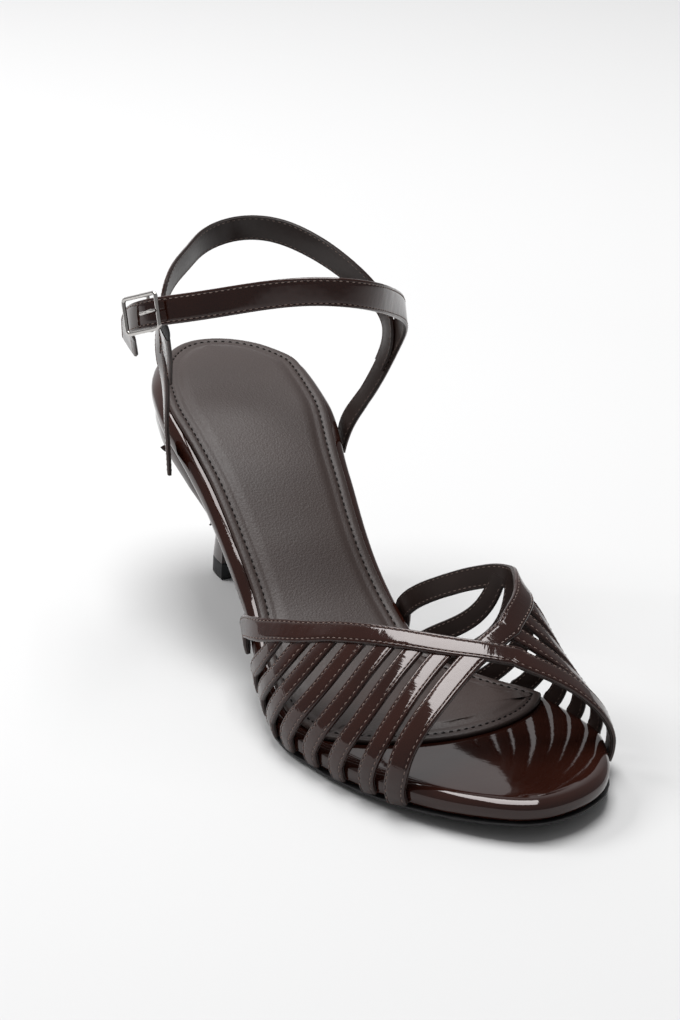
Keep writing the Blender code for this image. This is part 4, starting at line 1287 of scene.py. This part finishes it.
class SANDAL_OT_platform(bpy.types.Operator):
    """Covered platform and the band under its seat"""

    bl_idname = "sandal.platform"
    bl_label = "Platform"
    bl_options = {"REGISTER", "UNDO"}

    def execute(self, context):
        make_platform()
        make_seat_band()
        return {"FINISHED"}


class SANDAL_OT_outsole(bpy.types.Operator):
    """Thin black outsole"""

    bl_idname = "sandal.outsole"
    bl_label = "Outsole"
    bl_options = {"REGISTER", "UNDO"}

    def execute(self, context):
        make_outsole()
        return {"FINISHED"}


class SANDAL_OT_sock(bpy.types.Operator):
    """Lining under the foot with its seam"""

    bl_idname = "sandal.sock"
    bl_label = "Sock"
    bl_options = {"REGISTER", "UNDO"}

    def execute(self, context):
        make_sock()
        make_sock_stitches()
        return {"FINISHED"}


class SANDAL_OT_heel(bpy.types.Operator):
    """Covered heel and its top piece"""

    bl_idname = "sandal.heel"
    bl_label = "Heel"
    bl_options = {"REGISTER", "UNDO"}

    def execute(self, context):
        make_heel()
        make_heel_tip()
        return {"FINISHED"}


class SANDAL_OT_vamp(bpy.types.Operator):
    """Crossing bands and narrow straps"""

    bl_idname = "sandal.vamp"
    bl_label = "Vamp"
    bl_options = {"REGISTER", "UNDO"}

    def execute(self, context):
        make_vamp()
        return {"FINISHED"}


class SANDAL_OT_ankle(bpy.types.Operator):
    """Straps and stays round the ankle"""

    bl_idname = "sandal.ankle"
    bl_label = "Ankle"
    bl_options = {"REGISTER", "UNDO"}

    def execute(self, context):
        make_ankle()
        return {"FINISHED"}


class SANDAL_OT_buckle(bpy.types.Operator):
    """Buckle frame, bar and prong"""

    bl_idname = "sandal.buckle"
    bl_label = "Buckle"
    bl_options = {"REGISTER", "UNDO"}

    def execute(self, context):
        make_buckle()
        return {"FINISHED"}


class SANDAL_OT_elastic(bpy.types.Operator):
    """Elastic between the outer arm and the buckle"""

    bl_idname = "sandal.elastic"
    bl_label = "Elastic"
    bl_options = {"REGISTER", "UNDO"}

    def execute(self, context):
        make_elastic()
        return {"FINISHED"}


class SANDAL_OT_stage(bpy.types.Operator):
    """Floor, lights and camera"""

    bl_idname = "sandal.stage"
    bl_label = "Stage"
    bl_options = {"REGISTER", "UNDO"}

    def execute(self, context):
        make_stage()
        return {"FINISHED"}


STEPS = [SANDAL_OT_platform, SANDAL_OT_outsole, SANDAL_OT_sock, SANDAL_OT_heel, SANDAL_OT_vamp,
         SANDAL_OT_ankle, SANDAL_OT_buckle, SANDAL_OT_elastic, SANDAL_OT_stage]


class SANDAL_PT_panel(bpy.types.Panel):
    """Lists the steps and settings in the 3D view's sidebar."""

    bl_label = "Strappy Sandal"
    bl_idname = "SANDAL_PT_panel"
    bl_space_type = "VIEW_3D"
    bl_region_type = "UI"
    bl_category = "Sandal"

    def draw(self, context):
        for step in STEPS:
            self.layout.operator(step.bl_idname)
        for group in (context.scene.sandal_sizes, context.scene.sandal_colours):
            for name in group.bl_rna.properties.keys():
                if name not in ("rna_type", "name"):
                    self.layout.prop(group, name)


CLASSES = [SandalSizes, SandalColours, *STEPS, SANDAL_PT_panel]


def register():
    """Makes the operators, the panel and the settings known."""
    for cls in CLASSES:
        bpy.utils.register_class(cls)
    bpy.types.Scene.sandal_sizes = PointerProperty(type=SandalSizes)
    bpy.types.Scene.sandal_colours = PointerProperty(type=SandalColours)


def unregister():
    """Takes them away again."""
    del bpy.types.Scene.sandal_colours
    del bpy.types.Scene.sandal_sizes
    for cls in reversed(CLASSES):
        bpy.utils.unregister_class(cls)


def main():
    """Runs every step in order."""
    register()
    for step in STEPS:
        group, name = step.bl_idname.split(".")
        getattr(getattr(bpy.ops, group), name)()


if __name__ == "__main__":
    main()
